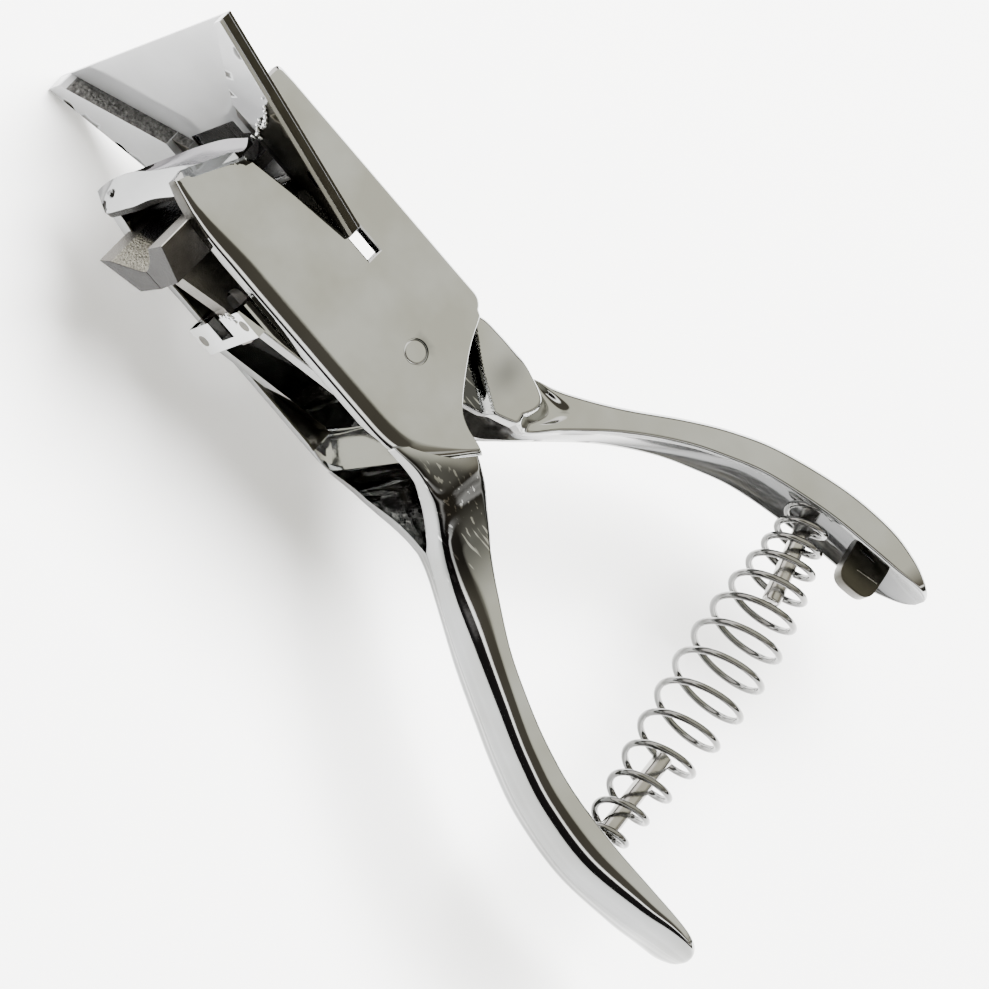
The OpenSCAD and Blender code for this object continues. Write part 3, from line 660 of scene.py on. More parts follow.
def cheek(front):
    outline, width, depth, bevel = cheekOutline(front)
    outer = lambda x, y: np.full_like(x, head.half)
    inner = lambda x, y: (head.half - head.cheek - head.fold * easeIn(-x, *head.foldAlong)
                          * (1 - easeIn(y, *head.foldUp)))
    # The shoulder's profile turns into a plain bevel where the edge is narrow.
    edge = [(a + bevel * (b - a), c + bevel * (1 - b - c))
            for (a, c), b in zip(shoulderEdge, np.linspace(0, 1, len(shoulderEdge)))]
    return plate(outline, width, depth, outer, inner, (0, 0, head.bore), edge)


# Stations of the lower handle: palm x, y, inner x, y, half width, corner radius across and up,
# inner edge, trough depth
lowerStations = np.array([
    (8.6, -14.0, 17.0, -2.2, 12.8, 3.6, 3.4, 0.8, 0),
    (14, -13.3, 20.6, -2.8, 12.5, 3.6, 3.0, 1.0, 0),
    (19, -13.5, 24.6, -3.6, 11.2, 4.2, 3.8, 1.2, 0),
    (22, -13.95, 26.8, -4.5, 9.8, 4.6, 4.8, 1.3, 0),
    (25, -14.8, 29, -5.7, 8.3, 4.9, 5.6, 1.4, 0),
    (28, -16.1, 31.3, -7.4, 7.2, 5.0, 5.8, 1.4, 0),
    (31, -17.6, 33.6, -9.4, 6.5, 5.0, 5.8, 1.3, 0),
    (36, -20.2, 38.6, -13.2, 6.2, 5.0, 5.5, 1.1, 0),
    (44, -23.9, 46.4, -18.3, 6.6, 5.1, 4.7, 0.9, 0.5),
    (52, -27.2, 54, -21.7, 6.9, 5.3, 4.5, 0.8, 1.8),
    (60.5, -30.5, 62, -24.5, 7.2, 5.4, 4.7, 0.8, 2.5),
    (69.3, -33, 70.5, -26.5, 7.4, 5.5, 4.9, 0.8, 2.6),
    (80.9, -34, 80.8, -27.3, 7.5, 5.5, 4.9, 0.8, 2.6),
    (92.4, -32.2, 91, -27.25, 7.5, 5.0, 3.3, 0.8, 2.2),
    (98.6, -30.5, 97.2, -27.2, 7.4, 4.8, 2.2, 0.7, 1.0),
    (102.0, -29.6, 100.9, -27.3, 6.9, 4.6, 1.4, 0.5, 0.3),
    (104.0, -28.9, 103.2, -27.4, 5.3, 3.6, 0.9, 0.3, 0.1),
    (104.8, -28.5, 104.3, -27.6, 3.4, 2.2, 0.5, 0.2, 0.02),
    (105.0, -28.2, 104.9, -27.9, 1.0, 0.6, 0.1, 0.08, 0),
])
lowerHandle = Values(
    reachStep=5.0, stepEnd=(34, 50), lean=0.8, leanRun=(20, 62), crown=0.3,
    wall=0.5, power=2.4, spacing=0.45, sideRows=26,
    forkRun=[9, 16, 22, 26, 27.2], forkGap=[10.6, 8.8, 4.2, 1.2, 0],
)


crownHeight = 6     # a handle lower than this has a flatter palm
ringSteps = Values(palm=8, corner=15, edge=8, hollow=15, back=4)     # points on each stretch


def handleHalf(stations, halfAt, gapAt, look):
    # Half of a handle as rings across it. Each ring runs along the palm (z up to the corner),
    # round a quarter ellipse, up the side, over the inner edge, down a trough
    # z = zEnd cos^(2/p) a, u = height - depth sin^(2/p) a, and back down the middle plane.
    s = evenly(smoothCurve(stations), look.spacing, 2)
    palm, inner = s[:, :2], s[:, 2:4]
    half, cornerZ, cornerU, edge, depth = (s[:, k, None] for k in range(4, 9))
    height = np.linalg.norm(inner - palm, axis=1)[:, None]
    wall = s[:, 9, None] if s.shape[1] > 9 else look.wall + 0 * half
    power = s[:, 10, None] if s.shape[1] > 10 else look.power + 0 * half
    flatEnd = half - cornerZ
    t = np.linspace(0, 1, ringSteps.palm)[None]
    crown = look.crown * np.minimum(1, height / crownHeight)
    rings = [(flatEnd * t, crown * t ** 2)]
    a = np.linspace(0, np.pi / 2, ringSteps.corner)[None, 1:]
    rings.append((flatEnd + cornerZ * np.sin(a), crown + cornerU * (1 - np.cos(a))))
    t = np.linspace(0, 1, look.sideRows)[None, 1:]
    low, high = crown + cornerU, height - edge
    rings.append((half + 0 * t, low + (high - low) * t))
    a = np.linspace(0, np.pi / 2, ringSteps.edge)[None, 1:]
    rings.append((half - edge * (1 - np.cos(a)), high + edge * np.sin(a)))
    zEnd = half - edge - wall
    a = np.linspace(0, np.pi / 2, ringSteps.hollow)[None]
    floor = height - depth * np.sin(a) ** (2 / power)
    rings.append((zEnd * np.clip(np.cos(a), 0, 1) ** (2 / power), floor))
    t = np.linspace(1, 0, ringSteps.back)[None, 1:-1]
    rings.append((0 * t + 0 * half, (height - depth) * t))
    z = np.hstack([r[0] for r in rings])
    u = np.hstack([r[1] for r in rings])
    share = u / height
    x = palm[:, :1] + (inner - palm)[:, :1] * share
    y = palm[:, 1:] + (inner - palm)[:, 1:] * share
    gap = gapAt(x)
    wide = halfAt(palm[:, :1], share, half, x, y)
    z = gap + z / half * np.maximum(wide - gap, 0.05)
    return loft(np.dstack([x, y, z]))


def lowerHalfWidth(x, share, half, *spot):
    # The step down to the neck runs aslant: the inner side is reachStep further on.
    look = lowerHandle
    line = evenly(smoothCurve(lowerStations), 0.5, 2)
    ahead = x + look.reachStep * share * (1 - easeIn(x, *look.stepEnd))
    wide = np.interp(ahead, line[:, 0], line[:, 4])
    return wide + look.lean * share * bump(x, *look.leanRun)


forkGap = lambda x: np.interp(x, lowerHandle.forkRun, lowerHandle.forkGap)
lowerHalf = handleHalf(lowerStations, lowerHalfWidth, forkGap, lowerHandle)


# Painted shade: the cheeks' inner faces inside the head get the dark olive material.
def inHead(f):
    return (f.x < head.insideEnd) & (abs(f.z) < head.inside) & (f.z * f.nz < -1)


# Painted shade: the slit's walls get the black material.
def slitWall(f):
    level, half = (head.slitLow + head.slitHigh) / 2, (head.slitHigh - head.slitLow) / 2
    near = abs(f.y - level) < half + head.slitEdge
    start, end = head.slitMarks
    return near & (f.x > start) & (f.x < end) & (abs(f.nz) < 0.5)


def tipSide(f):
    x, z = head.tipSide
    return (f.x < x) & (f.z > z) & (f.ny < 0.3) & (f.nz < 0.6) & (f.nx > -0.93)


def frameShade(f):
    # Painted shade: the palm side is darkened, and so is the hollow of the neck, past the line
    # of the step, where bright streaks of painted highlight are left.
    start, end = np.array(head.neckFrom), np.array(head.neckTo)
    along = (end - start) / np.linalg.norm(end - start)
    past = (f.x - start[0]) * along[1] - (f.y - start[1]) * along[0]
    neck = easeIn(past, *head.neckEase) * (1 - easeIn(f.x, *head.neckEnd))
    neck = head.neckDull * neck * easeIn(abs(f.nz), *head.neckSlopes)
    return np.maximum(undersideShade(f), neck * (f.x > head.neckStart))


makePiece("frameBody", joined(cheek(True), mirrorZ(cheek(False)), lowerHalf, mirrorZ(lowerHalf)),
          "frame", chrome, ["frame"],
          inner=[(oliveSteel, inHead), (blackSteel, slitWall), (oliveSteel, tipSide)],
          paintedShade=frameShade)
print("frame made")


# The lever: a channel that opens downwards for the jaw, a neck and the upper handle

# Stations: top x, y, lower x, y, half width, corner across and up, lower edge, depth of the
# channel or trough, wall, squareness of the hollow
leverStations = np.array([
    (-24.6, -7.2, -24.6, -17.6, 9.0, 0.9, 0.9, 0.4, 8.8, 2.3, 8),
    (-14, -0.55, -12.6, -14.9, 9.0, 0.9, 0.9, 0.4, 12.6, 2.3, 8),
    (-5, 5.1, -2.4, -12.6, 9.0, 0.9, 0.9, 0.4, 15.6, 2.3, 8),
    (-1.6, 8.3, 2.5, -11.2, 9.0, 0.9, 0.9, 0.4, 17.2, 2.3, 8),
    (1.5, 13.2, 6.0, -6.8, 9.0, 1.0, 1.0, 0.4, 15.6, 2.3, 8),
    (4.5, 15.7, 8.6, -2.0, 9.0, 1.2, 1.1, 0.4, 12.0, 2.2, 7),
    (9, 16.3, 11.9, 2.9, 9.0, 1.4, 1.2, 0.5, 8.6, 2.2, 7),
    (14, 16.5, 16.3, 5.1, 9.0, 1.6, 1.4, 0.5, 6.8, 2.2, 6),
    (18.2, 17.3, 20.6, 7.2, 8.0, 1.6, 1.4, 0.6, 4.4, 2.2, 5),
    (22, 18.9, 24.2, 9.8, 6.6, 1.5, 1.3, 0.8, 1.2, 2.2, 3),
    (26.2, 21.6, 28.4, 14.8, 5.6, 1.5, 1.3, 0.9, 0, 2.0, 2.4),
    (33, 26.6, 35.6, 22.6, 5.4, 1.5, 1.3, 0.9, 0.2, 1.2, 2.2),
    (41, 33.2, 43.6, 29.3, 5.9, 1.6, 1.3, 0.8, 1.2, 0.5, 2.2),
    (48, 38.2, 50.6, 33.6, 6.5, 1.7, 1.4, 0.7, 2.6, 0.4, 2.2),
    (55.8, 42.4, 57.6, 37.0, 6.9, 1.8, 1.5, 0.7, 3.6, 0.4, 2.2),
    (67.7, 46.4, 68.4, 40.2, 7.4, 1.9, 1.5, 0.7, 3.9, 0.4, 2.3),
    (77.8, 48.1, 77.6, 42.0, 7.5, 2.0, 1.6, 0.7, 3.7, 0.4, 2.3),
    (84.4, 47.8, 83.8, 43.2, 7.2, 2.4, 1.5, 0.6, 2.3, 0.4, 2.2),
    (88.4, 47.0, 87.9, 44.6, 5.9, 2.6, 1.0, 0.4, 0.8, 0.4, 2.2),
    (90.6, 46.3, 90.3, 45.4, 3.9, 2.0, 0.4, 0.2, 0.2, 0.3, 2.2),
    (91.4, 46.0, 91.3, 45.8, 1.6, 0.8, 0.1, 0.05, 0, 0.1, 2.2),
])
upperHandle = Values(
    crown=0.25, spacing=0.42, sideRows=52,
    petal=9.0, petalEnd=12.6, petalReach=7.2, petalShare=0.55, petalStep=3.6,
    petalTop=0.8, valley=4.7, valleyEase=(4.0, 6.6), rootEnd=60,
    gripRun=[24, 33, 41, 48, 55.8, 67.7], gripHalf=[5.7, 5.6, 6.0, 6.5, 6.9, 7.4],
    creaseY=[3.2, 7.0, 9.2, 12.9, 15.4], creaseX=[22, 15.1, 11.0, 5.7, 1.6],
    sunk=2.4, sunkEase=2.4, sunkEnd=(9, 15), sunkLow=(-9, -3),
    stain=0.5, stainAt=(14, 12), stainSize=(2.6, 4.0),  # spot of painted shade on the petal's middle
    trough=6.6, channel=(24, 6.9, 14.5),  # end, half width and top of the channel
)


def leverHalfWidth(x, share, half, spotX, spotY):
    # The petal of the channel wall ends on a curved line, then comes a valley and the shoulder
    # of the grip: start of the step = end + reach (1 - (1 - share / petalShare)^2). On the
    # pivot's side of the petal's crease the wall is sunk.
    look = upperHandle
    curve = 1 - (1 - np.minimum(share, look.petalTop) / look.petalShare) ** 2
    start = look.petalEnd + look.petalReach * curve
    grip = np.interp(x, look.gripRun, look.gripHalf)
    neck = look.valley + (grip - look.valley) * easeIn(x - start, *look.valleyEase)
    step = easeIn(x - start, 0, look.petalStep)
    root = look.petal * (1 - step) + neck * step
    return np.where(x < look.rootEnd, root - look.sunk * sunkShare(spotX, spotY), half)


def sunkShare(x, y):
    # 1 where the wall lies deeper, behind the crease, and 0 on the petal.
    look = upperHandle
    behind = np.interp(y, look.creaseY, look.creaseX) - x
    ends = (1 - easeIn(behind, *look.sunkEnd)) * easeIn(y, *look.sunkLow)
    return easeIn(behind, 0, look.sunkEase) * ends


def leverShade(f):
    # Painted shade: the palm side, the sunk wall and the petal's middle are darkened.
    look = upperHandle
    (x, y), (wide, high) = look.stainAt, look.stainSize
    away = ((f.x - x) / wide) ** 2 + ((f.y - y) / high) ** 2
    stain = look.stain * np.exp(-away) * (abs(f.nz) > 0.5)
    wall = sunkShare(f.x, f.y) * (abs(f.nz) > 0.3) * (abs(f.z) > 5)
    return np.maximum.reduce([undersideShade(f), stain, wall])


def inChannel(f):
    # Faces of the channel: they look down or towards the middle plane.
    end, half, top = upperHandle.channel
    aside = f.z * f.nz
    down = (f.ny < 0.2) & (f.y < top) & (aside < 1.5)
    inRoom = (f.x < end) & (abs(f.z) < half)
    return inRoom & (abs(f.nz) < 0.999) & (down | (aside < -0.5))


def inTrough(f):
    aside = f.z * f.nz
    down = (f.ny < -0.25) & (aside < 1.0)
    past = f.x >= upperHandle.channel[0]
    return past & (abs(f.z) < upperHandle.trough) & (down | (aside < -0.3))


leverHalf = handleHalf(leverStations, leverHalfWidth, lambda x: 0 * x, upperHandle)
makePiece("leverBody", joined(leverHalf, mirrorZ(leverHalf)), "lever", chrome, ["lever"],
          inner=[(hollowSteel, inChannel), (noseSteel, inTrough)], paintedShade=leverShade)
print("lever made")


# The return spring with its posts and seats

spring = Values(
    lowSeat=(81.3, -30.7), highSeat=(66.9, 44.28), lowTilt=6.0, highTilt=19.5,
    coils=14, wire=1.2, endR=3.6, midR=7.2, crowding=0.2, start=15.0,
    postR=1.6, postLow=24.0, postHigh=20.0, seatT=1.0, perCoil=44, sides=12,
)


def springLine():
    # Both seats, the knee where the post lines meet, and the directions of the posts.
    low, high = np.array(spring.lowSeat), np.array(spring.highSeat)
    a, b = math.radians(spring.lowTilt), math.radians(spring.highTilt)
    up = np.array([-math.sin(a), math.cos(a)])
    down = np.array([math.sin(b), -math.cos(b)])
    gap = high - low
    reach = (gap[0] * down[1] - gap[1] * down[0]) / (up[0] * down[1] - up[1] * down[0])
    return low, low + up * reach, high, up, down


def springWire():
    # Helix of barrel shape round a quadratic curve c(t): c + r (cos a n + sin a z), with
    # r = end + (mid - end) sin^2(pi u), a = start - 2 pi coils u, and straight ends.
    low, knee, high, up, down = springLine()
    foot = spring.seatT + spring.wire
    footLow = foot / (2 * np.linalg.norm(knee - low))
    footHigh = foot / (2 * np.linalg.norm(high - knee))
    u = np.linspace(0, 1, spring.coils * spring.perCoil + 1)[:, None]
    t = footLow + (1 - footLow - footHigh) * (
        u - spring.crowding * np.sin(2 * np.pi * u) / (2 * np.pi))
    line = (1 - t) ** 2 * low + 2 * t * (1 - t) * knee + t ** 2 * high
    along = (1 - t) * (knee - low) + t * (high - knee)
    along /= np.linalg.norm(along, axis=1)[:, None]
    radius = spring.endR + (spring.midR - spring.endR) * np.sin(np.pi * u) ** 2
    angle = math.radians(spring.start) - 2 * np.pi * spring.coils * u
    flat = line + radius * np.cos(angle) * np.column_stack([along[:, 1], -along[:, 0]])
    wire = np.column_stack([flat, radius * np.sin(angle)])
    lowEnd, highEnd = (spring.wire * np.append(v, 0) for v in (up, down))
    return np.vstack([wire[:1] - lowEnd, wire, wire[-1:] - highEnd])


def springPost(seat, direction, length):
    # A turned pin with a neck at its root, a small chamfer and a centre mark at its end.
    r = spring.postR
    profile = [(0.02, -1.4), (r, -1.4), (r, 1.2), (r * 0.93, 1.5), (r * 0.93, 2.1), (r, 2.4),
               (r, length - 0.5), (r - 0.15, length - 0.2), (r - 0.5, length),
               (0.5, length), (0.35, length - 0.25), (0.02, length - 0.3)]
    return turned(profile, (*seat, 0), (*direction, 0))


def springSeat(seat, direction):
    # A thin disc with rounded rims round the foot of a post.
    r, t = spring.endR + spring.wire, spring.seatT
    profile = [(spring.postR, 0), (r - 0.2, 0), (r, 0.2), (r, t - 0.3), (r - 0.1, t - 0.08),
               (r - 0.35, t), (spring.postR + 0.25, t), (spring.postR, t - 0.15)]
    return turned(profile, (*seat, 0), (*direction, 0), bored=True)


lowSeat, knee, highSeat, postUp, postDown = springLine()
# Painted shade: the spring's side that faces down is darkened.
coil = makePiece("returnSpring", tube(springWire(), spring.wire / 2, spring.sides), None,
                 springSteel, ["return_spring"], paintedShade=undersideShade)
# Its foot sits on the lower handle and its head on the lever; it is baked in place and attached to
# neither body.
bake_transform(coil)
low, high = ("lower", "frame", lowSeat, postUp), ("upper", "lever", highSeat, postDown)
for (side, body, *line), length in ((low, spring.postLow), (high, spring.postHigh)):
    makePiece(side + "Post", springPost(*line, length), body, turnedSteel,
              [side + "_spring_post"])
for side, body, *line in (low, high):
    makePiece(side + "Seat", springSeat(*line), body, turnedSteel, [side + "_spring_seat"])
print("spring made")


# Finishes of the model's own solids

finishes = {
    "jaw_bridge": chrome, "front_bridge_rivet": oliveSteel, "rear_bridge_rivet": oliveSteel,
    "pivot_sleeve": turnedSteel, "front_washer": turnedSteel, "rear_washer": turnedSteel,
    "jaw_pin": turnedSteel, "punch_backplate": blackSteel, "punch_carrier": toolSteel,
}
for name, finish in finishes.items():
    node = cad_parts[name]
    node.data.materials.clear()
    node.data.materials.append(finish)
print("solids finished")


# The guide: a table with the punch's opening, and the fences under it, each with a riser inside
# the cheek, a deeper flange outside it and a rough, torn V face

guide = Values(
    reach=64.3, end=21.1, frontTip=29.7, rearTip=33.5, endHalf=14.3,
    rearApex=-34.69, frontApex=-36.8, rearLow=2.95, frontLow=3.8, lip=4.6,
    inner=4.25, top=6.05, table=6.6, cheek=13.35, punch=10.85, behind=-34.1,
    openEdge=-46.4, openEnd=4.8, openBack=(-34.2, 6.6), openRear=-43.2,
    openFront=(-43.6, -43.0, -41.2), tongue=6.5,
    round=0.3, edge=0.12, riserRound=0.15, riserEdge=0.1, half=0.02, lipGap=0.02,
    riserGap=0.05, riserWall=9, vEnd=0.95, vBand=3,
    weldLine=(-43.2, 12, -0.449),  # x at z, and its change with z
)


def fenceShape(tipHalf, apex, low):
    # The slabs of a fence, on the front side of the middle plane.
    g = guide
    vAt = lambda z: apex - z
    flange = [(vAt(g.cheek), g.cheek), (-g.end, g.cheek), (-g.end, g.endHalf),
              (-g.reach, tipHalf), (-g.reach, g.reach + apex)]
    riser = [(vAt(g.punch), g.punch), (g.behind, g.punch), (g.behind, g.half),
             (-g.end, g.half), (-g.end, g.cheek), (vAt(g.cheek), g.cheek)]
    levels = [low, g.lip, g.top] if low > g.rearLow else [low, g.top]
    shapes = [slab(roundedPolygon(flange, g.round), a, b, g.edge, 1.5, "y")
              for a, b in zip(levels, levels[1:])]
    shapes.append(slab(roundedPolygon(riser, g.riserRound), g.inner, g.top,
                       g.riserEdge, 1.5, "y"))
    return joined(*shapes)


def guideTable():
    # A thin plate with a mouth for the punch, and the tongue behind that closes it.
    g = guide
    edge, end, wide, tongue = g.openEdge, -g.end, g.punch, g.tongue
    back, half = g.openBack
    frontA, frontB, frontC = g.openFront
    mouth = [(back, -half), (g.openRear, -wide), (edge, -wide), (edge, g.openEnd),
             (frontA, g.openEnd), (frontB, wide), (frontC, wide), (back, half)]
    rim = [(end, half), (end, g.endHalf), (-g.reach, g.frontTip),
           (-g.reach, -g.rearTip), (end, -g.endHalf), (end, -half)]
    bridge = [(end, -tongue), (back, -tongue), (back, tongue), (end, tongue)]
    return joined(*(slab(roundedPolygon(outline, g.round), g.top, g.table,
                         g.riserEdge, 2.0, "y") for outline in (rim + mouth, bridge)))


def onV(side):
    # The torn faces of the V, on the front (-1) or rear (1) fence.
    def test(f):
        inV = abs(f.x + abs(f.z) - guide.rearApex) < guide.vBand
        inside = abs(f.z) < guide.vEnd * guide.frontTip
        return (f.nx < -0.5) & (side * f.nz > 0.5) & inside & inV
    return test


def pastWeld(f):
    x, z, slope = guide.weldLine
    return (f.x > x + slope * (f.z - z)) & (f.ny < -0.5)


onSide = lambda f: (f.nz > 0.7) & (f.y > guide.lip - guide.lipGap)
onLip = lambda f: (f.nz > 0.3) & (f.y < guide.lip)
# Painted shade: the risers' faces inside the cheeks get the dark olive material.
onRiser = lambda f: ((abs(f.z) < guide.cheek - guide.riserGap)
                     & (abs(f.z * f.nz) < guide.riserWall))
makePiece("frontFence", fenceShape(guide.frontTip, guide.frontApex, guide.frontLow),
          "frame", tableSteel, ["front_fence"],
          inner=[(oliveSteel, onRiser), (oliveSteel, onSide), (chrome, onLip),
                 (oliveSteel, pastWeld), (tornSteel, onV(-1))])
makePiece("rearFence",
          mirrorZ(fenceShape(guide.rearTip, guide.rearApex, guide.rearLow)),
          "frame", tableSteel, ["rear_fence"], inner=[(oliveSteel, onRiser), (tornSteel, onV(1))])
makePiece("guideTable", guideTable(), "frame", tableSteel, ["guide_table"],
          inner=[(oliveSteel, onSide)])


# The pivot rivet: a flat head with a worn groove round it

rivet = Values(radius=2.25, groove=0.28, deep=0.22, crown=0.06, low=-13.3, high=13.3)


def rivetShape():
    r, g, d, low, high = rivet.radius, rivet.groove, rivet.deep, rivet.low, rivet.high
    profile = [(0.02, low), (r - 0.3, low), (r, low + 0.3), (r, high - d), (r - g * 0.6, high - d),
               (r - g, high - 0.6 * d), (r - g - 0.12, high - 0.02), (r - g - 0.4, high + 0.03),
               (1.0, high + rivet.crown), (0.02, high + rivet.crown)]
    return turned(profile, (0, 0, 0), (0, 0, 1), 64)


makePiece("pivotRivet", rivetShape(), "frame", chrome, ["pivot_rivet"], sharp=50)
print("guide and rivet made")


# The nose: a twisted plate with a small hole, and the curved throat over it. Both are ruled
# between lines that run across the head: (z, x, y)

nose = Values(
    low=[(-13.2, -47.2, -13.4), (-11, -47.1, -13.9), (-6, -46.6, -13.4), (-4, -46.3, -13.0),
         (0, -45.9, -11.8), (6, -44.9, -11.5), (8, -44.6, -11.45), (13.0, -43.9, -11.3)],
    top=[(-13.2, -50.6, -11.9), (-12.6, -50.7, -10.4), (-11, -50.4, -8.6), (-8, -49.8, -7.4),
         (-4, -48.3, -6.4), (0, -47.0, -5.0), (6, -45.2, -3.3), (13.0, -44.2, -1.4)],
    throat=[(-13.2, -50.5, -11.7), (-12.6, -50.6, -10.2), (-11, -50.3, -8.4),
            (-8, -49.4, -6.6), (-4, -47.6, -1.8), (0, -46.2, 1.4), (6, -45.4, 2.3),
            (13.0, -44.3, 2.2)],
    thick=1.1, lift=0.25, back=-42.95, across=(-13.2, 13.0), steps=90, upSteps=40,
    holeDeep=0.7, holeDark=0.48, hole=(-11.2, -11.2, 0.5),  # z, y and radius
    plateSag=-0.15, throatSag=0.9,
)


def acrossHead(line, z):
    # A line of the nose at z, smooth through its points.
    curve = smoothCurve(line)
    return np.column_stack([np.interp(z, curve[:, 0], curve[:, k]) for k in (1, 2)])


def ruledSheet(lowLine, highLine, sag, hole, back):
    # Rows across the head. Each runs low + (high - low) s, pushed in by sag sin(pi s) and by a
    # round dent with the profile exp(-(r / radius)^6), then returns along the back.
    z = np.linspace(*nose.across, nose.steps)
    low, high = acrossHead(lowLine, z), acrossHead(highLine, z)
    s = np.linspace(0, 1, nose.upSteps)
    front = low[:, None] + (high - low)[:, None] * s[None, :, None]
    dent = sag * np.sin(np.pi * s)[None, :]
    if hole:
        holeZ, holeY, radius = hole
        far = np.hypot(z[:, None] - holeZ, front[..., 1] - holeY)
        dent = dent + nose.holeDeep * np.exp(-(far / radius) ** 6)
    front[..., 0] += dent
    ring = np.concatenate([front, back(high)[:, None], back(low)[:, None]], axis=1)
    return loft(np.dstack([ring, np.broadcast_to(z[:, None], ring.shape[:2])]))


behindPlate = lambda line: line + (nose.thick, nose.lift)
behindThroat = lambda line: np.column_stack([np.full(len(line), nose.back), line[:, 1]])
# Painted shade: the hole's dent, the nose plate's underside and the throat's faces but its front
# get the black material.
inHole = lambda f: np.hypot(f.z - nose.hole[0], f.y - nose.hole[1]) < nose.holeDark
underPlate = lambda f: (f.nx > 0.3) | (f.ny < -0.7)
notFront = lambda f: (f.nx > -0.5) | (abs(f.nz) > 0.8)
makePiece("nosePlate", ruledSheet(nose.low, nose.top, nose.plateSag, nose.hole, behindPlate),
          "frame", noseSteel, ["nose_plate"],
          inner=[(blackSteel, underPlate), (blackSteel, inHole)])
makePiece("throatBlock", ruledSheet(nose.top, nose.throat, nose.throatSag, None, behindThroat),
          "frame", throatSteel, ["throat_block"], inner=[(blackSteel, notFront)])


# The punch: two halves with a hollow front, a bright worn corner and a granular hollow. The die
# round it has the same outline

punch = Values(
    low=-20.94, high=-0.94, edge=0.14, split=0.04, play=0.15, tip=0.5,
    corner=9.5, grain=(5.8, 8.4),  # z where the grain ends in the front and the rear hollow
    rear=[(-38.15, 0.04), (-38.4, 1.2), (-40.0, 4.25), (-42.0, 7.6), (-42.85, 10.6),
          (-35.2, 6.5), (-34.35, 0.04)],
    front=[(-38.15, 0.04), (-38.8, 1.9), (-40.1, 4.0), (-41.75, 5.9), (-41.35, 10.55),
           (-34.35, 6.3), (-34.35, 0.04)],
)


def punchOutline(corners):
    # In x and z: hollow front, the arm's end, the slanted flank and the flat back.
    c = [np.array(p) for p in corners]
    hollow = curveOf(corners[:4], 0.5)
    sharp = c[4][0] < c[3][0] - 0.3
    tip = c[4:5] if sharp else roundCorner(c[3], c[4], c[5], punch.tip)
    return np.vstack([hollow, tip, c[5:]])


def punchHalf(corners):
    return slab(punchOutline(corners), punch.low, punch.high, punch.edge, 1.0, "y")


def dieHalf(corners):
    # Half of the block over the guide, less the punch's outline moved outwards by the play.
    low, high = (np.array(corner) / mm - (0, 0, middle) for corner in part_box("die_block"))
    outline = punchOutline(corners)[::-1]
    room = insetRing(outline, np.full(len(outline), -punch.play))
    room[[0, -1], 1] = punch.split / 2
    around = [(low[0], room[0, 1]), (low[0], high[2]), (high[0], high[2]), (high[0], room[0, 1])]
    return slab(np.vstack([room, around]), low[1], high[1], 0.05, 1.5, "y")


def inHollow(f):
    front, rear = punch.grain
    inGrain = (f.z < front) & (f.z > -rear)
    return (f.nx < -0.3) & (abs(f.ny) < 0.3) & (f.nz * f.z < 0.5) & inGrain


onSole = lambda f: f.ny < -0.5
onCorner = lambda f: (f.nx < -0.25) & (f.nz > 0.25) & (f.z > punch.corner)
makePiece("frontPunch", punchHalf(punch.front), "punch", punchSteel, ["front_punch_half"],
          inner=[(grainSteel, inHollow), (turnedSteel, onCorner), (soleSteel, onSole)])
makePiece("rearPunch", mirrorZ(punchHalf(punch.rear)), "punch", punchSteel,
          ["rear_punch_half"], inner=[(grainSteel, inHollow), (soleSteel, onSole)])
makePiece("dieBlock", joined(dieHalf(punch.front), mirrorZ(dieHalf(punch.rear))), "frame",
          blackSteel, ["die_block"])
print("nose, punch and die made")


# The stop lug under the handle's end: a tab with a round end and two bright rubbed lines

lug = Values(
    corners=[(75.9, 46.2), (78.0, 36.9), (84.9, 38.2), (83.3, 46.8)], round=2.7, half=1.5,
    lines=[((77.8, 43.4), (80.8, 43.7)), ((79.6, 40.5), (83.7, 41.6))],
    lineHalf=0.09, lineRise=(0.02, 0.06),
)


def lugShapes():
    tab = slab(roundedPolygon(lug.corners, lug.round), -lug.half, lug.half, 0.25, 1.2)
    shapes = []
    for a, b in (np.array(line) for line in lug.lines):
        side = np.array([a[1] - b[1], b[0] - a[0]]) / np.linalg.norm(b - a) * lug.lineHalf
        strip = roundedPolygon([a - side, b - side, b + side, a + side], 0.04)
        shapes.append(slab(strip, *(lug.half + rise for rise in lug.lineRise), 0.01, 0.5))
    return tab, joined(*shapes)


tab, strips = lugShapes()
makePiece("stopLug", tab, "lever", oliveSteel, ["stop_lug"])
makePiece("lugLines", strips, "lever", turnedSteel)


# The weld under the guide, a lumpy bead with a few drops beside it, and drops on the bridge

weld = Values(
    path=[(-48.0, 3.6, 22.6), (-46.7, 3.5, 21.2), (-45.3, 3.4, 19.3), (-44.7, 3.5, 17.2),
          (-45.2, 3.6, 15.7), (-44.0, 3.5, 14.7), (-43.5, 3.6, 13.3)],
    thick=0.42, spacing=0.18, taper=0.5, dropWave=0.16, dropHigh=0.8,
    drops=[(-45.9, 3.6, 17.7, 0.4), (-43.0, 3.5, 13.9, 0.5), (-43.5, 3.5, 12.0, 0.5),
           (-49.2, 3.65, 23.6, 0.25)],
    bridgeDrops=[(-25.1, -18.6, 7.9, 0.55), (-24.4, -18.7, 8.5, 0.45), (-25.0, -18.6, 6.6, 0.4),
                 (-23.5, -18.6, 8.2, 0.4), (-25.3, -18.5, 5.4, 0.35), (-24.3, -18.6, 7.2, 0.3)],
)


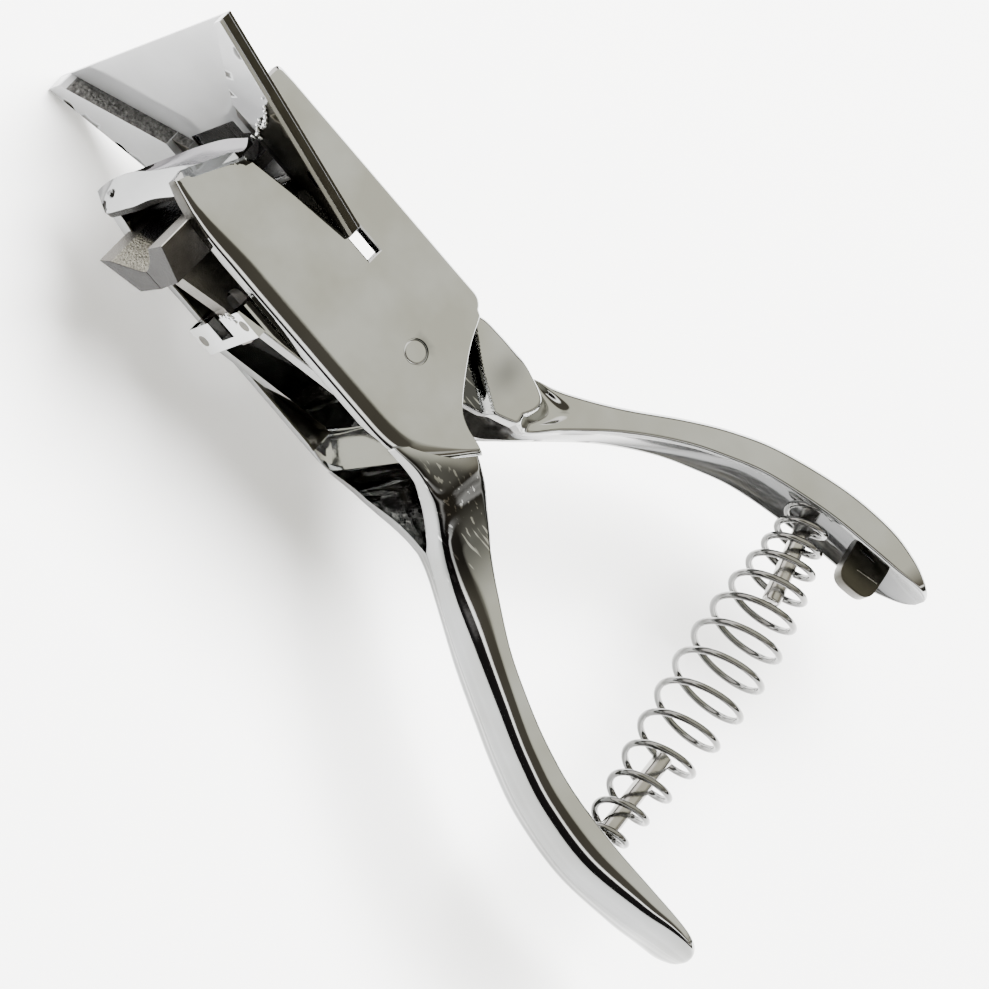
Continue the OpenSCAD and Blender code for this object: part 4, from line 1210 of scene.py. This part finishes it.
def weldDrops(drops):
    # Rounded lumps with a wavy radius r (1 + wave sin(3a + 9r)), lower than they are wide.
    shapes = []
    for x, y, z, r in drops:
        t = np.linspace(0.04, np.pi - 0.04, 12)
        a = np.linspace(0, 2 * np.pi, 16, endpoint=False)
        wave = r * (1 + weld.dropWave * np.sin(3 * a + 9 * r))[None, :] * np.sin(t)[:, None]
        rise = y + weld.dropHigh * r * np.cos(t)[:, None] + 0 * wave
        shapes.append(loft(np.stack([x + wave * np.cos(a), rise, z + wave * np.sin(a)], axis=-1)))
    return joined(*shapes)


def weldBead():
    # A tube whose radius goes thick (0.75 + 0.35 sin 5s + 0.2 sin 11s), pinched at both ends.
    path = evenly(smoothCurve(weld.path), weld.spacing)
    s = np.arange(len(path)) * weld.spacing
    ends = np.clip(np.minimum(s, s[-1] - s) / weld.taper, 0.05, 1) ** 0.5
    radius = weld.thick * (0.75 + 0.35 * np.sin(5 * s) + 0.2 * np.sin(11 * s)) * ends
    return joined(tube(path, radius, 10), weldDrops(weld.drops))


makePiece("weldBead", weldBead(), "frame", chrome, sharp=70)
makePiece("bridgeWeld", weldDrops(weld.bridgeDrops), "lever", chrome, sharp=70)


# Floor, tent and lamp

studio = Values(
    floorSize=3.0, floorGap=0.0002, floorWhite=0.94, lampPower=190.0, lampSize=1.1,
    lampPlace=(-0.2, 0.5, 1.45), strength=2.05,
)


def addFloor():
    mesh = bpy.data.meshes.new("floor")
    s, z = studio.floorSize, cadBox[0][2] - studio.floorGap
    mesh.from_pydata([(-s, -s, z), (s, -s, z), (s, s, z), (-s, s, z)], [], [(0, 1, 2, 3)])
    addObject("floor", mesh)
    material = bpy.data.materials.new("paleFloor")
    m = makerFor(material)
    white = studio.floorWhite
    shader = m.node("BsdfDiffuse", {"Color": (white, white, white, 1)})
    m.node("OutputMaterial", {"Surface": shader})
    mesh.materials.append(material)


# Colour by height of the mirrored direction, 0 below to 1 overhead, on each side of the tool
tent = {
    "front": [(0.0, (0.02, 0.02, 0.02)), (0.47, (0.025, 0.02, 0.02)), (0.52, (3.0, 2.95, 2.8)),
              (0.58, (2.8, 2.75, 2.6)), (0.64, (0.10, 0.09, 0.07)), (0.93, (0.08, 0.072, 0.055)),
              (0.972, (0.74, 0.72, 0.60)), (1.0, (0.78, 0.76, 0.64))],
    "rear": [(0.0, (0.03, 0.03, 0.03)), (0.10, (0.04, 0.04, 0.035)), (0.30, (0.30, 0.285, 0.235)),
             (0.55, (0.80, 0.77, 0.64)), (1.0, (0.78, 0.76, 0.64))],
    "end": [(0.0, (0.02, 0.02, 0.02)), (0.22, (0.05, 0.045, 0.035)), (0.30, (1.6, 1.55, 1.45)),
            (0.36, (0.10, 0.085, 0.06)), (0.78, (0.13, 0.11, 0.08)), (0.92, (0.70, 0.68, 0.56)),
            (1.0, (0.78, 0.76, 0.64))],
    "tip": [(0.0, (0.02, 0.02, 0.02)), (0.12, (0.05, 0.045, 0.04)), (0.24, (1.5, 1.42, 1.38)),
            (0.62, (1.5, 1.45, 1.36)), (0.74, (0.78, 0.76, 0.64))],
}
# How far a direction counts as near, past the handles or past the tip: slope and shift
tentSides = [(-2.0, 0.35), (2.2, -1.0), (-5.0, -2.4)]


def addTent():
    # What the bright metal mirrors: beige overhead, then by height above the horizon a dark, a
    # light and a black band on the palm's side, beige behind, and dark brown past the handles.
    world = bpy.data.worlds.new("tent")
    bpy.context.scene.world = world
    m = makerFor(world)
    x, y, z = m.parts(m.node("TexCoord"))
    clamp = lambda value: m.node("Clamp", {"Value": value})
    near, far, left = (clamp(axis * slope + shift)
                       for axis, (slope, shift) in zip((y, x, x), tentSides))
    front, rear, end, tip = (m.node("ValToRGB", {0: z}, stops=tent[side])
                             for side in ("front", "rear", "end", "tip"))
    colour = m.mix(left, m.mix(far, m.mix(near, rear, front), end), tip)
    sky = m.node("Background", {"Color": colour, "Strength": studio.strength})
    m.node("OutputWorld", {"Surface": sky})


def addLamp():
    lamp = bpy.data.lights.new("overhead", "AREA")
    lamp.shape = "DISK"
    lamp.size = studio.lampSize
    lamp.energy = studio.lampPower
    lampObject = addObject("overhead", lamp)
    place = Vector(studio.lampPlace)
    facing = (-place).to_track_quat("-Z", "Y").to_matrix().to_4x4()
    lampObject.matrix_world = Matrix.Translation(place) @ facing
    lampObject.visible_glossy = False
    lampObject.visible_camera = False


addFloor()
addTent()
addLamp()
print("stage and light made")
